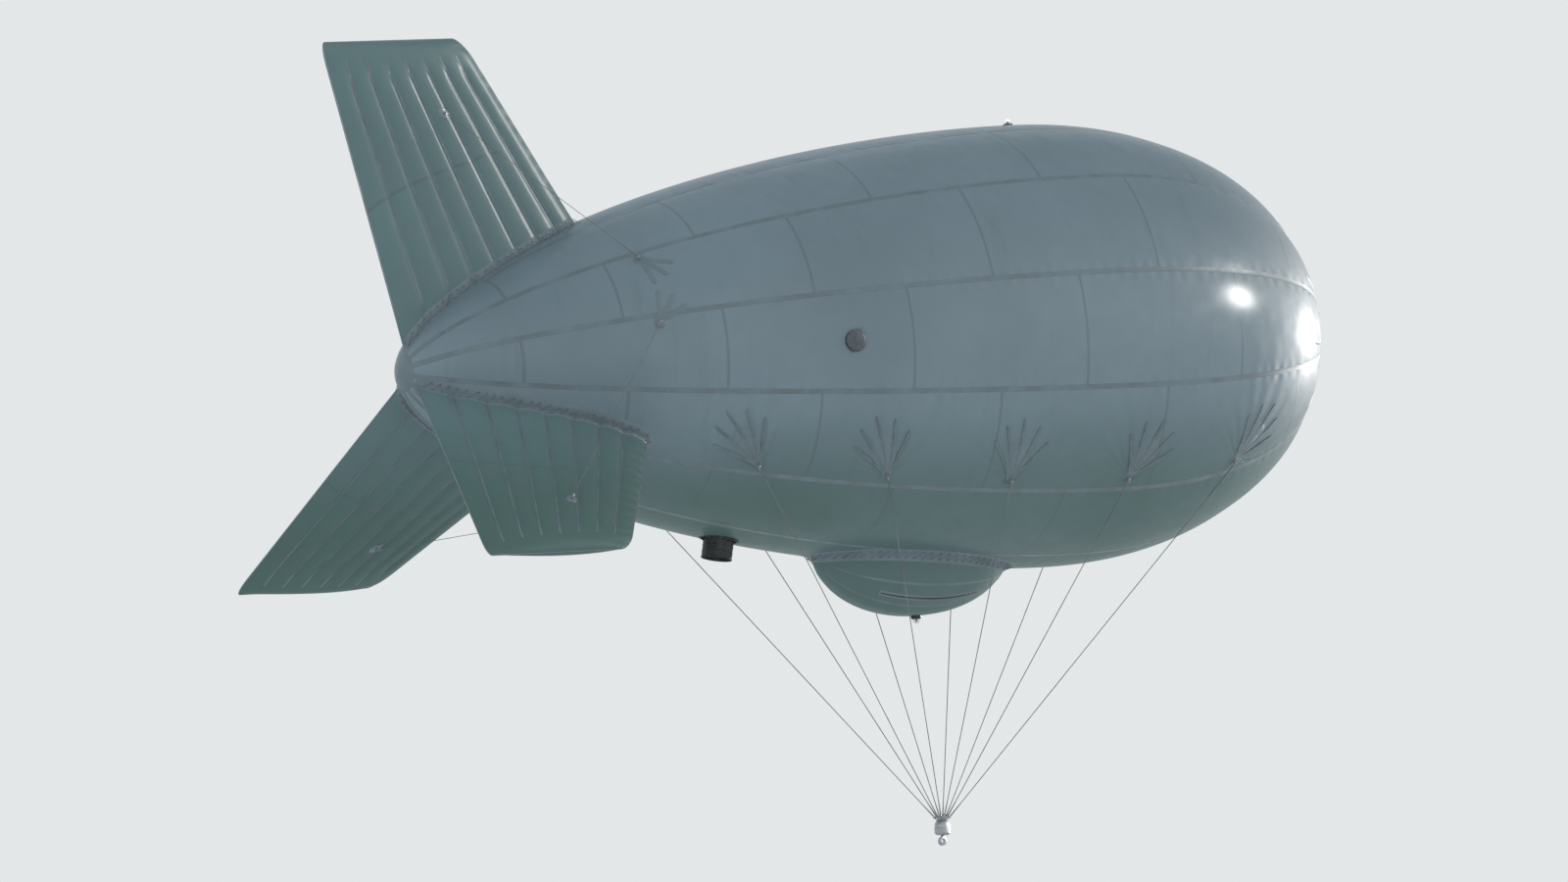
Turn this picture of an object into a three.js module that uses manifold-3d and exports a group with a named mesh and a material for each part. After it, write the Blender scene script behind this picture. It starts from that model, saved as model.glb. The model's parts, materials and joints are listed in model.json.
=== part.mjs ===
// A tethered blimp balloon, 17 m long, with three air-filled fins, a belly pod and its bridle of taut lines.
// Millimetres, +Z up, nose towards +X. The origin is the centre of the tether eye, below the hull.
import * as THREE from "three";
import { mergeVertices } from "three/addons/utils/BufferGeometryUtils.js";
import Module from "manifold-3d";

const wasm = await Module();
wasm.setup();

// Driving dimensions. A station is a distance aft of the nose.
// An angle on the hull is from straight up towards starboard.
const HULL_LENGTH = 17000;
const HULL_RADIUS = 3650;
const WIDEST_STATION = 0.305 * HULL_LENGTH;
const NOSE_POWER = 2.15; // of the superellipse ahead of the widest ring
const STERN_POWERS = { along: 1.8, across: 0.6 };
const NOSE_X = 6800;
const AXIS_HEIGHT = 8100;
const NOSE_UP = 5; // degrees that the hull rides above level
const SKIN = 10;
const SEAT_GAP = 0.3; // between pieces that touch
const ROOT = 100; // how far a fitting starts below the skin, before the hull's facets trim it
const GORE_COUNT = 12;
const GORE_COLUMNS = 3; // flat facets across one gore
const NOSE_RING_STEPS = 8;
const STERN_RING_STEPS = 12;
const END_RING_RADIUS = 250;

const radians = THREE.MathUtils.degToRad;
const STERN_LENGTH = HULL_LENGTH - WIDEST_STATION;
const GORE_ANGLE = 360 / GORE_COUNT;
const FACETS_ROUND = GORE_COUNT * GORE_COLUMNS;
const UP = new THREE.Vector3(0, 0, 1);
const ABEAM = new THREE.Vector3(0, 1, 0);

const fabric = (color) => new THREE.MeshStandardMaterial({ color, roughness: 0.45, metalness: 0 });
const HULL_FABRIC = fabric(0x939ca2);
const FIN_FABRIC = fabric(0x8d969b);
const POD_FABRIC = fabric(0x838b8c);
const ROPE = new THREE.MeshStandardMaterial({ color: 0x8d8f8a, roughness: 0.85, metalness: 0 });
const ALUMINIUM = new THREE.MeshStandardMaterial({ color: 0xd6d9da, roughness: 0.22, metalness: 1 });
const STEEL = new THREE.MeshStandardMaterial({ color: 0x8f9498, roughness: 0.35, metalness: 1 });
const DARK_PLASTIC = new THREE.MeshStandardMaterial({ color: 0x3d4245, roughness: 0.5, metalness: 0 });
const LAMP_GLASS = new THREE.MeshStandardMaterial({ color: 0xe9eef0, roughness: 0.08, metalness: 0 });

// Solids and meshes

function solidOf(geometry) {
  const bare = geometry.clone();
  bare.deleteAttribute("normal");
  bare.deleteAttribute("uv");
  const merged = mergeVertices(bare, 1e-3);
  const vertProperties = merged.attributes.position.array;
  const triVerts = new Uint32Array(merged.index.array);
  const meshOf = () => new wasm.Mesh({ numProp: 3, vertProperties, triVerts });
  const made = new wasm.Manifold(meshOf());
  if (made.volume() > 0) return made;
  for (let i = 0; i < triVerts.length; i += 3) triVerts.subarray(i, i + 2).reverse();
  return new wasm.Manifold(meshOf());
}

function geometryOf(solid) {
  const mesh = solid.getMesh();
  return new THREE.BufferGeometry()
    .setAttribute("position", new THREE.BufferAttribute(mesh.vertProperties, 3))
    .setIndex(new THREE.BufferAttribute(mesh.triVerts, 1));
}

function piece(name, solid, material) {
  const mesh = new THREE.Mesh(geometryOf(solid), material);
  mesh.name = name;
  return mesh;
}

const inFrame = (solid, matrix) => solidOf(geometryOf(solid).applyMatrix4(matrix));
const joined = (...solids) => solids.reduce((sum, next) => sum.add(next));

// A closed body between two sheets of points with the same rows and columns.
function thickSheet(outer, inner) {
  const rows = outer.length;
  const columns = outer[0].length;
  const points = [...outer.flat(), ...inner.flat()];
  const at = (side, i, j) => (side * rows + i) * columns + j;
  const index = [];
  const quad = (a, b, c, d) => index.push(a, b, c, a, c, d);
  for (let i = 0; i + 1 < rows; i++) {
    for (let j = 0; j + 1 < columns; j++) {
      quad(at(0, i, j), at(0, i, j + 1), at(0, i + 1, j + 1), at(0, i + 1, j));
      quad(at(1, i, j), at(1, i + 1, j), at(1, i + 1, j + 1), at(1, i, j + 1));
    }
    quad(at(0, i, 0), at(0, i + 1, 0), at(1, i + 1, 0), at(1, i, 0));
    quad(at(0, i + 1, columns - 1), at(0, i, columns - 1), at(1, i, columns - 1), at(1, i + 1, columns - 1));
  }
  for (let j = 0; j + 1 < columns; j++) {
    quad(at(0, 0, j + 1), at(0, 0, j), at(1, 0, j), at(1, 0, j + 1));
    quad(at(0, rows - 1, j), at(0, rows - 1, j + 1), at(1, rows - 1, j + 1), at(1, rows - 1, j));
  }
  return new THREE.BufferGeometry()
    .setAttribute("position", new THREE.Float32BufferAttribute(points.flatMap((p) => p.toArray()), 3))
    .setIndex(index);
}

// A closed body through rings of points, with a flat end on the first and the last.
function loft(rings) {
  const count = rings[0].length;
  const index = [];
  rings.slice(1).forEach((_, i) => {
    for (let j = 0; j < count; j++) {
      const next = (j + 1) % count;
      const [a, b, c, d] = [i * count + j, i * count + next, (i + 1) * count + next, (i + 1) * count + j];
      index.push(a, b, c, a, c, d);
    }
  });
  const last = (rings.length - 1) * count;
  for (let j = 1; j + 1 < count; j++) index.push(0, j + 1, j, last, last + j, last + j + 1);
  return new THREE.BufferGeometry()
    .setAttribute("position", new THREE.Float32BufferAttribute(rings.flat().flatMap((p) => p.toArray()), 3))
    .setIndex(index);
}

// A turned body about +Z from [radius, height] pairs.
function turned(pairs, segments = 24, firstAngle = 0) {
  const profile = pairs.map(([radius, height]) => new THREE.Vector2(radius, height));
  return new THREE.LatheGeometry(profile, segments, firstAngle).rotateX(Math.PI / 2);
}

function rod(start, end, radius, segments = 8) {
  const along = end.clone().sub(start);
  const turn = new THREE.Quaternion().setFromUnitVectors(ABEAM, along.clone().normalize());
  const middle = start.clone().add(end).multiplyScalar(0.5);
  const place = new THREE.Matrix4().compose(middle, turn, new THREE.Vector3(1, 1, 1));
  return new THREE.CylinderGeometry(radius, radius, along.length(), segments).applyMatrix4(place);
}

function box(width, depth, height, x, y, z) {
  return new THREE.BoxGeometry(width, depth, height).translate(x, y, z);
}

// The hull's shape: a superellipse nose and a fuller stern, turned about the long axis

function hullRadius(station) {
  if (station < WIDEST_STATION) {
    const ahead = (WIDEST_STATION - station) / WIDEST_STATION;
    return HULL_RADIUS * (1 - ahead ** NOSE_POWER) ** (1 / NOSE_POWER);
  }
  const aft = (station - WIDEST_STATION) / STERN_LENGTH;
  return HULL_RADIUS * (1 - aft ** STERN_POWERS.along) ** STERN_POWERS.across;
}

// The outward normal of the profile, as its parts forwards and away from the axis.
function hullNormal(station) {
  const step = Math.min(5, 0.2 * station, 0.2 * (HULL_LENGTH - station));
  const slope = (hullRadius(station + step) - hullRadius(station - step)) / (2 * step);
  return new THREE.Vector2(slope, 1).normalize();
}

const awayFromAxis = (angle) => new THREE.Vector3(0, -Math.sin(radians(angle)), Math.cos(radians(angle)));

function hullNormalAt(station, angle) {
  const normal = hullNormal(station);
  return awayFromAxis(angle).multiplyScalar(normal.y).setX(normal.x);
}

function hullPoint(station, angle, offset = 0) {
  const onSkin = awayFromAxis(angle).multiplyScalar(hullRadius(station)).setX(NOSE_X - station);
  return onSkin.add(hullNormalAt(station, angle).multiplyScalar(offset));
}

// Rings closer together where the hull curves most, between the two end rings.
function ringStations() {
  const endShare = END_RING_RADIUS / HULL_RADIUS;
  const noseStart = Math.asin(endShare ** (NOSE_POWER / 2));
  const sternEnd = Math.acos(endShare ** (0.5 / STERN_POWERS.across));
  const stations = [];
  for (let i = 0; i < NOSE_RING_STEPS; i++) {
    const turn = THREE.MathUtils.lerp(noseStart, Math.PI / 2, i / NOSE_RING_STEPS);
    stations.push(WIDEST_STATION * (1 - Math.cos(turn) ** (2 / NOSE_POWER)));
  }
  for (let i = 0; i <= STERN_RING_STEPS; i++) {
    const turn = (sternEnd * i) / STERN_RING_STEPS;
    stations.push(WIDEST_STATION + STERN_LENGTH * Math.sin(turn) ** (2 / STERN_POWERS.along));
  }
  return stations;
}

const RING_STATIONS = ringStations();

// The whole hull as one solid, its skin moved out by an offset, to cut and shape what lies on it.
function hullSolid(offset) {
  const pairs = RING_STATIONS.map((station) => {
    const normal = hullNormal(station);
    return [hullRadius(station) + normal.y * offset, NOSE_X - station + normal.x * offset];
  });
  const nose = [0, NOSE_X + offset];
  const tail = [0, NOSE_X - HULL_LENGTH - offset];
  const firstAngle = radians(GORE_ANGLE / 2);
  return solidOf(turned([nose, ...pairs, tail], FACETS_ROUND, firstAngle).rotateY(Math.PI / 2));
}

const HULL_CUTTER = hullSolid(SEAT_GAP);
const hull = new THREE.Group();
hull.position.z = AXIS_HEIGHT;
hull.rotation.y = -radians(NOSE_UP);
hull.updateMatrix();

const HUB = { radius: 130, height: 250, foot: 105, bevel: 25, domeSteps: 6 };
const HUB_CENTRE = new THREE.Vector3(0, 0, HUB.height).applyMatrix4(hull.matrix.clone().invert());

// The frame of a fitting seated on the skin: +Z is the outward normal there, and +X runs aft
function seatOn(station, angle) {
  const out = hullNormalAt(station, angle);
  const across = new THREE.Vector3().crossVectors(out, new THREE.Vector3(-1, 0, 0)).normalize();
  const aft = new THREE.Vector3().crossVectors(across, out);
  return new THREE.Matrix4().makeBasis(aft, across, out).setPosition(hullPoint(station, angle));
}

// Load patches, one row on each side, each with the lug that takes a bridle line

const PATCH_STATIONS = [2900, 5100, 7300, 9500, 11700];
const PATCH_ANGLE = 131;
const PATCHED_GORES = [-120, 120];
const PATCH = { thickness: 12, length: 520, headRadius: 190, footRadius: 60 };
const LUG = { radius: 24, height: 70, segments: 12 };

// A drop-shaped patch, cut from a layer on the skin, its foot at the lug and its head up the hull.
function patchSolid(station, angle) {
  const foot = hullPoint(station, angle);
  const out = hullNormalAt(station, angle);
  const upHull = foot.clone().sub(HUB_CENTRE).projectOnPlane(out).normalize();
  const across = new THREE.Vector3().crossVectors(out, upHull);
  const outline = new THREE.Shape();
  outline.absarc(0, 0, PATCH.footRadius, radians(90), radians(270), false);
  outline.absarc(PATCH.length, 0, PATCH.headRadius, radians(-75), radians(75), false);
  const depth = 2.5 * PATCH.headRadius;
  const block = new THREE.ExtrudeGeometry(outline, { depth, bevelEnabled: false, curveSegments: 6 })
    .translate(0, 0, -depth / 2)
    .applyMatrix4(new THREE.Matrix4().makeBasis(upHull, across, out).setPosition(foot));
  const sheet = solidOf(block).intersect(hullSolid(PATCH.thickness));
  return joined(sheet, lugSolid(station, angle, 0)).subtract(hullSolid(-SKIN / 2));
}

function lugSolid(station, angle, offset) {
  const top = hullPoint(station, angle, PATCH.thickness + LUG.height + offset);
  return solidOf(rod(hullPoint(station, angle, -ROOT), top, LUG.radius + offset, LUG.segments));
}

// Gores: the twelve lengthwise panels of the envelope, two of them with a hole under a fitting

const SKIN_HOLES = [
  { station: 10300, angle: 90, radius: 125 }, // relief valve
  { station: 11300, angle: 180, radius: 230 }, // blower
];

function goreSolid(centre) {
  const sheet = (offset) =>
    RING_STATIONS.map((station) =>
      Array.from({ length: GORE_COLUMNS + 1 }, (_, j) => {
        const edge = j === 0 ? 1 : j === GORE_COLUMNS ? -1 : 0;
        const seam = THREE.MathUtils.radToDeg((edge * SEAT_GAP) / 2 / hullRadius(station));
        const angle = centre - GORE_ANGLE / 2 + (GORE_ANGLE * j) / GORE_COLUMNS + seam;
        return hullPoint(station, angle, offset);
      }),
    );
  return solidOf(thickSheet(sheet(0), sheet(-SKIN)));
}

for (let i = 0; i < GORE_COUNT; i++) {
  const centre = GORE_ANGLE * i;
  const angle = centre > 180 ? centre - 360 : centre;
  let gore = goreSolid(angle);
  if (PATCHED_GORES.includes(angle)) {
    const rowAngle = Math.sign(angle) * PATCH_ANGLE;
    gore = joined(gore, ...PATCH_STATIONS.map((station) => patchSolid(station, rowAngle)));
  }
  for (const { station, angle: holeAngle, radius } of SKIN_HOLES) {
    if (angle !== holeAngle) continue;
    const drill = new THREE.CylinderGeometry(radius, radius, 200, 24).rotateX(Math.PI / 2);
    gore = gore.subtract(solidOf(drill.applyMatrix4(seatOn(station, holeAngle))));
  }
  hull.add(piece(`gore_${String(i + 1).padStart(2, "0")}`, gore, HULL_FABRIC));
}

// Nose cap: a spun aluminium dish with a boss, and the clevis and ring that moor the nose

const NOSE_CAP = { radius: 560, boss: 95, bossLength: 55 };
const TAIL_CAP_RADIUS = 320;
const CLEVIS = { base: 80, plate: 16, ear: 14, earRadius: 30, gap: 56, reach: 82, pin: 12 };
const RING = { barrel: 23, bore: 12.6, length: 54, radius: 78, tube: 12, drop: 125 };
const CLEVIS_BACK = NOSE_X + SKIN + NOSE_CAP.bossLength + SEAT_GAP;
const PIN_X = CLEVIS_BACK + CLEVIS.plate + CLEVIS.reach - CLEVIS.earRadius;

function dish(radius, towardsNose) {
  const layer = hullSolid(SEAT_GAP + SKIN).subtract(HULL_CUTTER);
  const middle = towardsNose ? NOSE_X : NOSE_X - HULL_LENGTH;
  const drum = new THREE.CylinderGeometry(radius, radius, 2000, FACETS_ROUND).rotateZ(Math.PI / 2);
  return layer.intersect(solidOf(drum.translate(middle, 0, 0)));
}

const along = (from, to, radius, segments = 24) =>
  solidOf(rod(new THREE.Vector3(from, 0, 0), new THREE.Vector3(to, 0, 0), radius, segments));

function noseCapSolid() {
  const front = CLEVIS_BACK - SEAT_GAP;
  return joined(dish(NOSE_CAP.radius, true), along(NOSE_X + SKIN / 2, front, NOSE_CAP.boss));
}

// A round bar across the clevis's pin line, between two places abeam.
function abeamRod(from, to, radius, segments) {
  return solidOf(rod(new THREE.Vector3(PIN_X, from, 0), new THREE.Vector3(PIN_X, to, 0), radius, segments));
}

function clevisSolid() {
  const { base, plate, ear, earRadius, gap } = CLEVIS;
  const face = CLEVIS_BACK + plate;
  const root = face - plate / 2; // the ears start inside the base plate
  const earCentre = (gap + ear) / 2;
  const ears = [-earCentre, earCentre].map((y) => {
    const bar = box(PIN_X - root, ear, 2 * earRadius, (PIN_X + root) / 2, y, 0);
    return joined(solidOf(bar), abeamRod(y - ear / 2, y + ear / 2, earRadius, 20));
  });
  const pinEnd = earCentre + ear;
  return joined(along(CLEVIS_BACK, face, base), ...ears, abeamRod(-pinEnd, pinEnd, CLEVIS.pin, 16));
}

function mooringRingSolid() {
  const { barrel, bore, radius, tube, drop } = RING;
  const half = RING.length / 2;
  const sleeve = turned([[bore, -half], [barrel, -half], [barrel, half], [bore, half], [bore, -half]]);
  const stemTop = new THREE.Vector3(0, 0, -(bore + barrel) / 2);
  const stem = rod(stemTop, new THREE.Vector3(0, 0, radius - drop), tube, 10);
  const loop = new THREE.TorusGeometry(radius, tube, 10, 28).rotateY(Math.PI / 2).translate(0, 0, -drop);
  return joined(solidOf(sleeve.rotateX(Math.PI / 2)), solidOf(stem), solidOf(loop));
}

hull.add(piece("nose_cap", noseCapSolid(), ALUMINIUM));
hull.add(piece("nose_clevis", clevisSolid(), STEEL));
const mooringRing = piece("mooring_ring", mooringRingSolid(), STEEL);
mooringRing.position.x = PIN_X;
mooringRing.rotation.y = radians(NOSE_UP); // it hangs plumb
hull.add(mooringRing);
hull.add(piece("tail_cap", dish(TAIL_CAP_RADIUS, false), HULL_FABRIC));

// Fins: three air-filled socks in an inverted Y, lens-shaped in section, each open where it sits on the hull

const FIN_ANGLES = { fin_top: 0, fin_starboard: 127, fin_port: -127 };
const FIN = {
  inner: { span: 340, nose: 12370, tail: 16850, thickness: 560 },
  outer: { span: 5360, nose: 15400, tail: 17980, thickness: 330 },
  chordSteps: 8,
};
// Where the sections stand along the span, and how much of its thickness each keeps towards the tip.
const FIN_SECTIONS = [
  { share: 0, rounding: 1 },
  { share: 0.25, rounding: 1 },
  { share: 0.5, rounding: 1 },
  { share: 0.75, rounding: 1 },
  { share: 0.9, rounding: 0.97 },
  { share: 0.97, rounding: 0.8 },
  { share: 1, rounding: 0.35 },
];
const CELL_END = 0.95; // share of the span where the air inside the sock ends

// One section across the fin, at a share of the span, as a ring of points that starts at the leading edge.
function finRing(share, rounding, inset, angle) {
  const at = (key) => THREE.MathUtils.lerp(FIN.inner[key], FIN.outer[key], share);
  const edge = inset ? 0.05 : 0;
  const out = awayFromAxis(angle);
  const side = awayFromAxis(angle + 90);
  const point = (step, sign) => {
    const even = (1 - Math.cos((Math.PI * step) / FIN.chordSteps)) / 2;
    const chordShare = THREE.MathUtils.lerp(edge, 1 - edge, even);
    const half = (at("thickness") / 2) * rounding * Math.sin(Math.PI * chordShare ** 0.8) ** 0.7;
    const station = THREE.MathUtils.lerp(at("nose"), at("tail"), chordShare);
    const where = out.clone().multiplyScalar(at("span"));
    where.addScaledVector(side, sign * Math.max(half - inset, 1)).setX(NOSE_X - station);
    return where;
  };
  const steps = Array.from({ length: FIN.chordSteps + 1 }, (_, i) => i);
  const near = steps.map((step) => point(step, 1));
  const far = steps.map((step) => point(step, -1)).reverse();
  return inset ? [...near, ...far] : [...near, ...far.slice(1, -1)];
}

function finBody(angle, inset) {
  const sections = FIN_SECTIONS.filter(({ share }) => !inset || share < CELL_END);
  return solidOf(loft(sections.map(({ share, rounding }) => finRing(share, rounding, inset, angle))));
}

for (const [name, angle] of Object.entries(FIN_ANGLES)) {
  const sock = finBody(angle, 0).subtract(finBody(angle, SKIN));
  hull.add(piece(name, sock.subtract(HULL_CUTTER), FIN_FABRIC));
}

// Fin guys: one line on each side of each fin, down to the hull

const GUY = { radius: 5, finStation: 16100, finSpan: 4350, finDepth: 60, hullStation: 13400, spread: 49 };

for (const [name, angle] of Object.entries(FIN_ANGLES)) {
  for (const [side, sign] of [["upper", -1], ["lower", 1]]) {
    const turn = sign * (angle < 0 ? -1 : 1);
    const inFin = awayFromAxis(angle).multiplyScalar(GUY.finSpan).setX(NOSE_X - GUY.finStation);
    inFin.addScaledVector(awayFromAxis(angle + 90), turn * GUY.finDepth);
    const inHull = hullPoint(GUY.hullStation, angle + turn * GUY.spread, -ROOT);
    const guy = solidOf(rod(inFin, inHull, GUY.radius)).subtract(HULL_CUTTER);
    const finWithGap = finBody(angle, -SEAT_GAP);
    const label = angle === 0 ? { upper: "port", lower: "starboard" }[side] : side;
    hull.add(piece(`${name.replace("fin", "guy")}_${label}`, guy.subtract(finWithGap), ROPE));
  }
}

// Belly pod: the air-filled cover round the payload, open where it sits on the belly

const POD = { station: 7680, halfLength: 1850, halfWidth: 860, depth: 850, sunk: 300 };
const POD_FLOOR = -hullRadius(POD.station) - POD.depth;

function podBody(inset) {
  const belly = hullRadius(POD.station);
  return new THREE.SphereGeometry(1, 24, 16)
    .rotateX(Math.PI / 2)
    .scale(POD.halfLength - inset, POD.halfWidth - inset, POD.depth + POD.sunk - inset)
    .translate(NOSE_X - POD.station, 0, POD.sunk - belly);
}

const podShell = solidOf(podBody(0)).subtract(solidOf(podBody(SKIN))).subtract(HULL_CUTTER);
hull.add(piece("belly_pod", podShell, POD_FABRIC));

// Relief valve: a flanged ring with a three-armed guide, and the spring-loaded lid that lifts off it

const VALVE = { bore: 130, lip: 22, height: 46, flange: 182, flangeThickness: 14 };
const GUIDE = { bore: 12.6, radius: 26, from: 14, to: 34, armWidth: 14, armHeight: 12 };
const LID = { stem: 12, stemFoot: -40, radius: 164, shoulder: 30, edge: 12, slope: 24, crown: 34 };
const VALVE_SEAT = seatOn(SKIN_HOLES[0].station, SKIN_HOLES[0].angle);
const THIRDS = [0, 120, 240];

function valveRingSolid() {
  const { bore, lip, height, flange, flangeThickness } = VALVE;
  const wall = turned([
    [bore, -ROOT], [flange, -ROOT], [flange, flangeThickness], [bore + lip, flangeThickness],
    [bore + lip, height], [bore, height], [bore, -ROOT],
  ]);
  const sleeve = turned([
    [GUIDE.bore, GUIDE.from], [GUIDE.radius, GUIDE.from], [GUIDE.radius, GUIDE.to],
    [GUIDE.bore, GUIDE.to], [GUIDE.bore, GUIDE.from],
  ], 16);
  const inner = (GUIDE.bore + GUIDE.radius) / 2;
  const outer = bore + lip / 2;
  const middle = (GUIDE.from + GUIDE.to) / 2;
  const arms = THIRDS.map((turn) => {
    const arm = box(outer - inner, GUIDE.armWidth, GUIDE.armHeight, (inner + outer) / 2, 0, middle);
    return solidOf(arm.rotateZ(radians(turn)));
  });
  return joined(solidOf(wall), solidOf(sleeve), ...arms);
}

function valveLidSolid() {
  const { stem, stemFoot, radius, shoulder, edge, slope, crown } = LID;
  const rest = VALVE.height + SEAT_GAP;
  const profile = [
    [0, stemFoot], [stem, stemFoot], [stem, rest], [radius, rest],
    [radius, rest + edge], [radius - shoulder, rest + slope], [0, rest + crown],
  ];
  return solidOf(turned(profile));
}

hull.add(piece("valve_ring", inFrame(valveRingSolid(), VALVE_SEAT).subtract(HULL_CUTTER), DARK_PLASTIC));
const valveLid = piece("valve_lid", valveLidSolid(), DARK_PLASTIC);
valveLid.applyMatrix4(VALVE_SEAT);
hull.add(valveLid);

// Blower: a fan in a short duct under the belly that keeps the air cell full

const BLOWER = { radius: 250, wall: 10, flange: 330, flangeThickness: 14, drop: 330 };
const MOTOR = { radius: 62, bore: 13, boreDepth: 60, from: 80, to: 200 };
const MOTOR_ARM = { width: 22, from: 110, to: 150 };
const FAN = {
  hub: { radius: 60, length: 56, bevelRadius: 25, bevelLength: 20 },
  shaft: { radius: 12, length: 55 },
  blade: { count: 6, root: 48, rootWidth: 48, tip: 230, tipWidth: 88, thickness: 6, pitch: 35 },
};
const BLOWER_SEAT = seatOn(SKIN_HOLES[1].station, SKIN_HOLES[1].angle);

function ductSolid() {
  const { radius, wall, flange, flangeThickness, drop } = BLOWER;
  const inner = radius - wall;
  const tube = turned([
    [inner, -ROOT], [flange, -ROOT], [flange, flangeThickness], [radius, flangeThickness],
    [radius, drop], [inner, drop], [inner, -ROOT],
  ], 36);
  const { bore, from, to } = MOTOR;
  const boreFloor = to - MOTOR.boreDepth;
  const can = turned([
    [0, from], [MOTOR.radius, from], [MOTOR.radius, to], [bore, to],
    [bore, boreFloor], [0, boreFloor], [0, from],
  ]);
  const armStart = MOTOR.radius / 2;
  const armEnd = radius - wall / 2;
  const armHeight = MOTOR_ARM.to - MOTOR_ARM.from;
  const arms = THIRDS.map((turn) => {
    const arm = new THREE.BoxGeometry(armEnd - armStart, MOTOR_ARM.width, armHeight)
      .translate((armStart + armEnd) / 2, 0, MOTOR_ARM.from + armHeight / 2)
      .rotateZ(radians(turn));
    return solidOf(arm);
  });
  const drill = turned([[0, boreFloor], [bore, boreFloor], [bore, to], [0, to]]);
  return joined(...arms).subtract(solidOf(drill)).add(joined(solidOf(tube), solidOf(can)));
}

function fanSolid() {
  const { hub, shaft, blade } = FAN;
  const foot = MOTOR.to + SEAT_GAP;
  const shaftEnd = foot - shaft.length;
  const front = foot + hub.length;
  const boss = turned([
    [0, shaftEnd], [shaft.radius, shaftEnd], [shaft.radius, foot], [hub.radius, foot],
    [hub.radius, front - hub.bevelLength], [hub.radius - hub.bevelRadius, front], [0, front], [0, shaftEnd],
  ]);
  const outline = new THREE.Shape([
    new THREE.Vector2(blade.root, -blade.rootWidth / 2), new THREE.Vector2(blade.tip, -blade.tipWidth / 2),
    new THREE.Vector2(blade.tip, blade.tipWidth / 2), new THREE.Vector2(blade.root, blade.rootWidth / 2),
  ]);
  const blades = Array.from({ length: blade.count }, (_, i) => {
    const plate = new THREE.ExtrudeGeometry(outline, { depth: blade.thickness, bevelEnabled: false })
      .translate(0, 0, -blade.thickness / 2)
      .rotateX(radians(blade.pitch))
      .translate(0, 0, foot + hub.length / 2)
      .rotateZ((2 * Math.PI * i) / blade.count);
    return solidOf(plate);
  });
  return joined(solidOf(boss), ...blades);
}

hull.add(piece("blower_duct", inFrame(ductSolid(), BLOWER_SEAT).subtract(HULL_CUTTER), DARK_PLASTIC));
const fan = piece("blower_fan", fanSolid(), ALUMINIUM);
fan.applyMatrix4(BLOWER_SEAT);
hull.add(fan);

// Beacon lamps, one on top of the hull and one under the pod: a base and a clear dome

const BEACON = {
  base: { radius: 90, height: 36, bevelRadius: 12, bevelHeight: 10 },
  dome: { radius: 66, height: 79, steps: 5 },
};
const TOP_BEACON_STATION = 5200;

// A quarter turn in equal steps, from level to straight up.
const quarterTurn = (steps) => Array.from({ length: steps + 1 }, (_, i) => (Math.PI * i) / 2 / steps);

function addBeacon(name, seat, cutter) {
  const { base, dome } = BEACON;
  const mount = turned([
    [0, -ROOT], [base.radius, -ROOT], [base.radius, base.height - base.bevelHeight],
    [base.radius - base.bevelRadius, base.height], [0, base.height],
  ]);
  const foot = base.height + SEAT_GAP;
  const turns = quarterTurn(dome.steps);
  const rise = turns.map((turn) => [dome.radius * Math.cos(turn), foot + dome.height * Math.sin(turn)]);
  const lens = turned([[0, foot], ...rise]);
  hull.add(piece(`${name}_base`, inFrame(solidOf(mount), seat).subtract(cutter), DARK_PLASTIC));
  hull.add(piece(`${name}_lens`, inFrame(solidOf(lens), seat), LAMP_GLASS));
}

const podBottom = new THREE.Matrix4().makeRotationX(Math.PI).setPosition(NOSE_X - POD.station, 0, POD_FLOOR);
addBeacon("top_beacon", seatOn(TOP_BEACON_STATION, 0), HULL_CUTTER);
addBeacon("pod_beacon", podBottom, solidOf(podBody(-SEAT_GAP)));

// Hub: the domed fitting where the bridle lines meet, and the swivel eye held in it by its head

const EYE = {
  radius: 72, bore: 32, width: 64,
  shank: { radius: 30, from: 50 },
  head: { radius: 45, from: 150, to: 182 },
};
const SWIVEL_PLAY = { shank: 1.5, head: 3, above: 15 };

function domeProfile(radius) {
  const turns = quarterTurn(HUB.domeSteps);
  return turns.map((turn) => [radius * Math.cos(turn), HUB.height + radius * Math.sin(turn)]);
}

function hubSolid() {
  const bore = EYE.shank.radius + SWIVEL_PLAY.shank;
  const chamber = EYE.head.radius + SWIVEL_PLAY.head;
  const roof = EYE.head.to + SWIVEL_PLAY.above;
  const shelf = EYE.head.from - SEAT_GAP;
  const { radius, foot, bevel } = HUB;
  const outside = [[bore, foot], [radius - bevel, foot], [radius, foot + bevel], ...domeProfile(radius)];
  const inside = [[0, roof], [chamber, roof], [chamber, shelf], [bore, shelf], [bore, foot]];
  return solidOf(turned([...outside, ...inside], 36));
}

function eyeSolid() {
  const { radius, bore, width, shank, head } = EYE;
  const disc = rod(new THREE.Vector3(0, -width / 2, 0), new THREE.Vector3(0, width / 2, 0), radius, 32);
  const hole = rod(new THREE.Vector3(0, -width, 0), new THREE.Vector3(0, width, 0), bore, 32);
  const stem = turned([
    [0, shank.from], [shank.radius, shank.from], [shank.radius, head.from], [head.radius, head.from],
    [head.radius, head.to], [0, head.to], [0, shank.from],
  ]);
  return joined(solidOf(disc).subtract(solidOf(hole)), solidOf(stem));
}

const balloon = new THREE.Group();
balloon.add(hull, piece("bridle_hub", hubSolid(), STEEL), piece("swivel_eye", eyeSolid(), STEEL));

// Bridle: a taut line from each load patch to the hub, numbered from the nose

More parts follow.
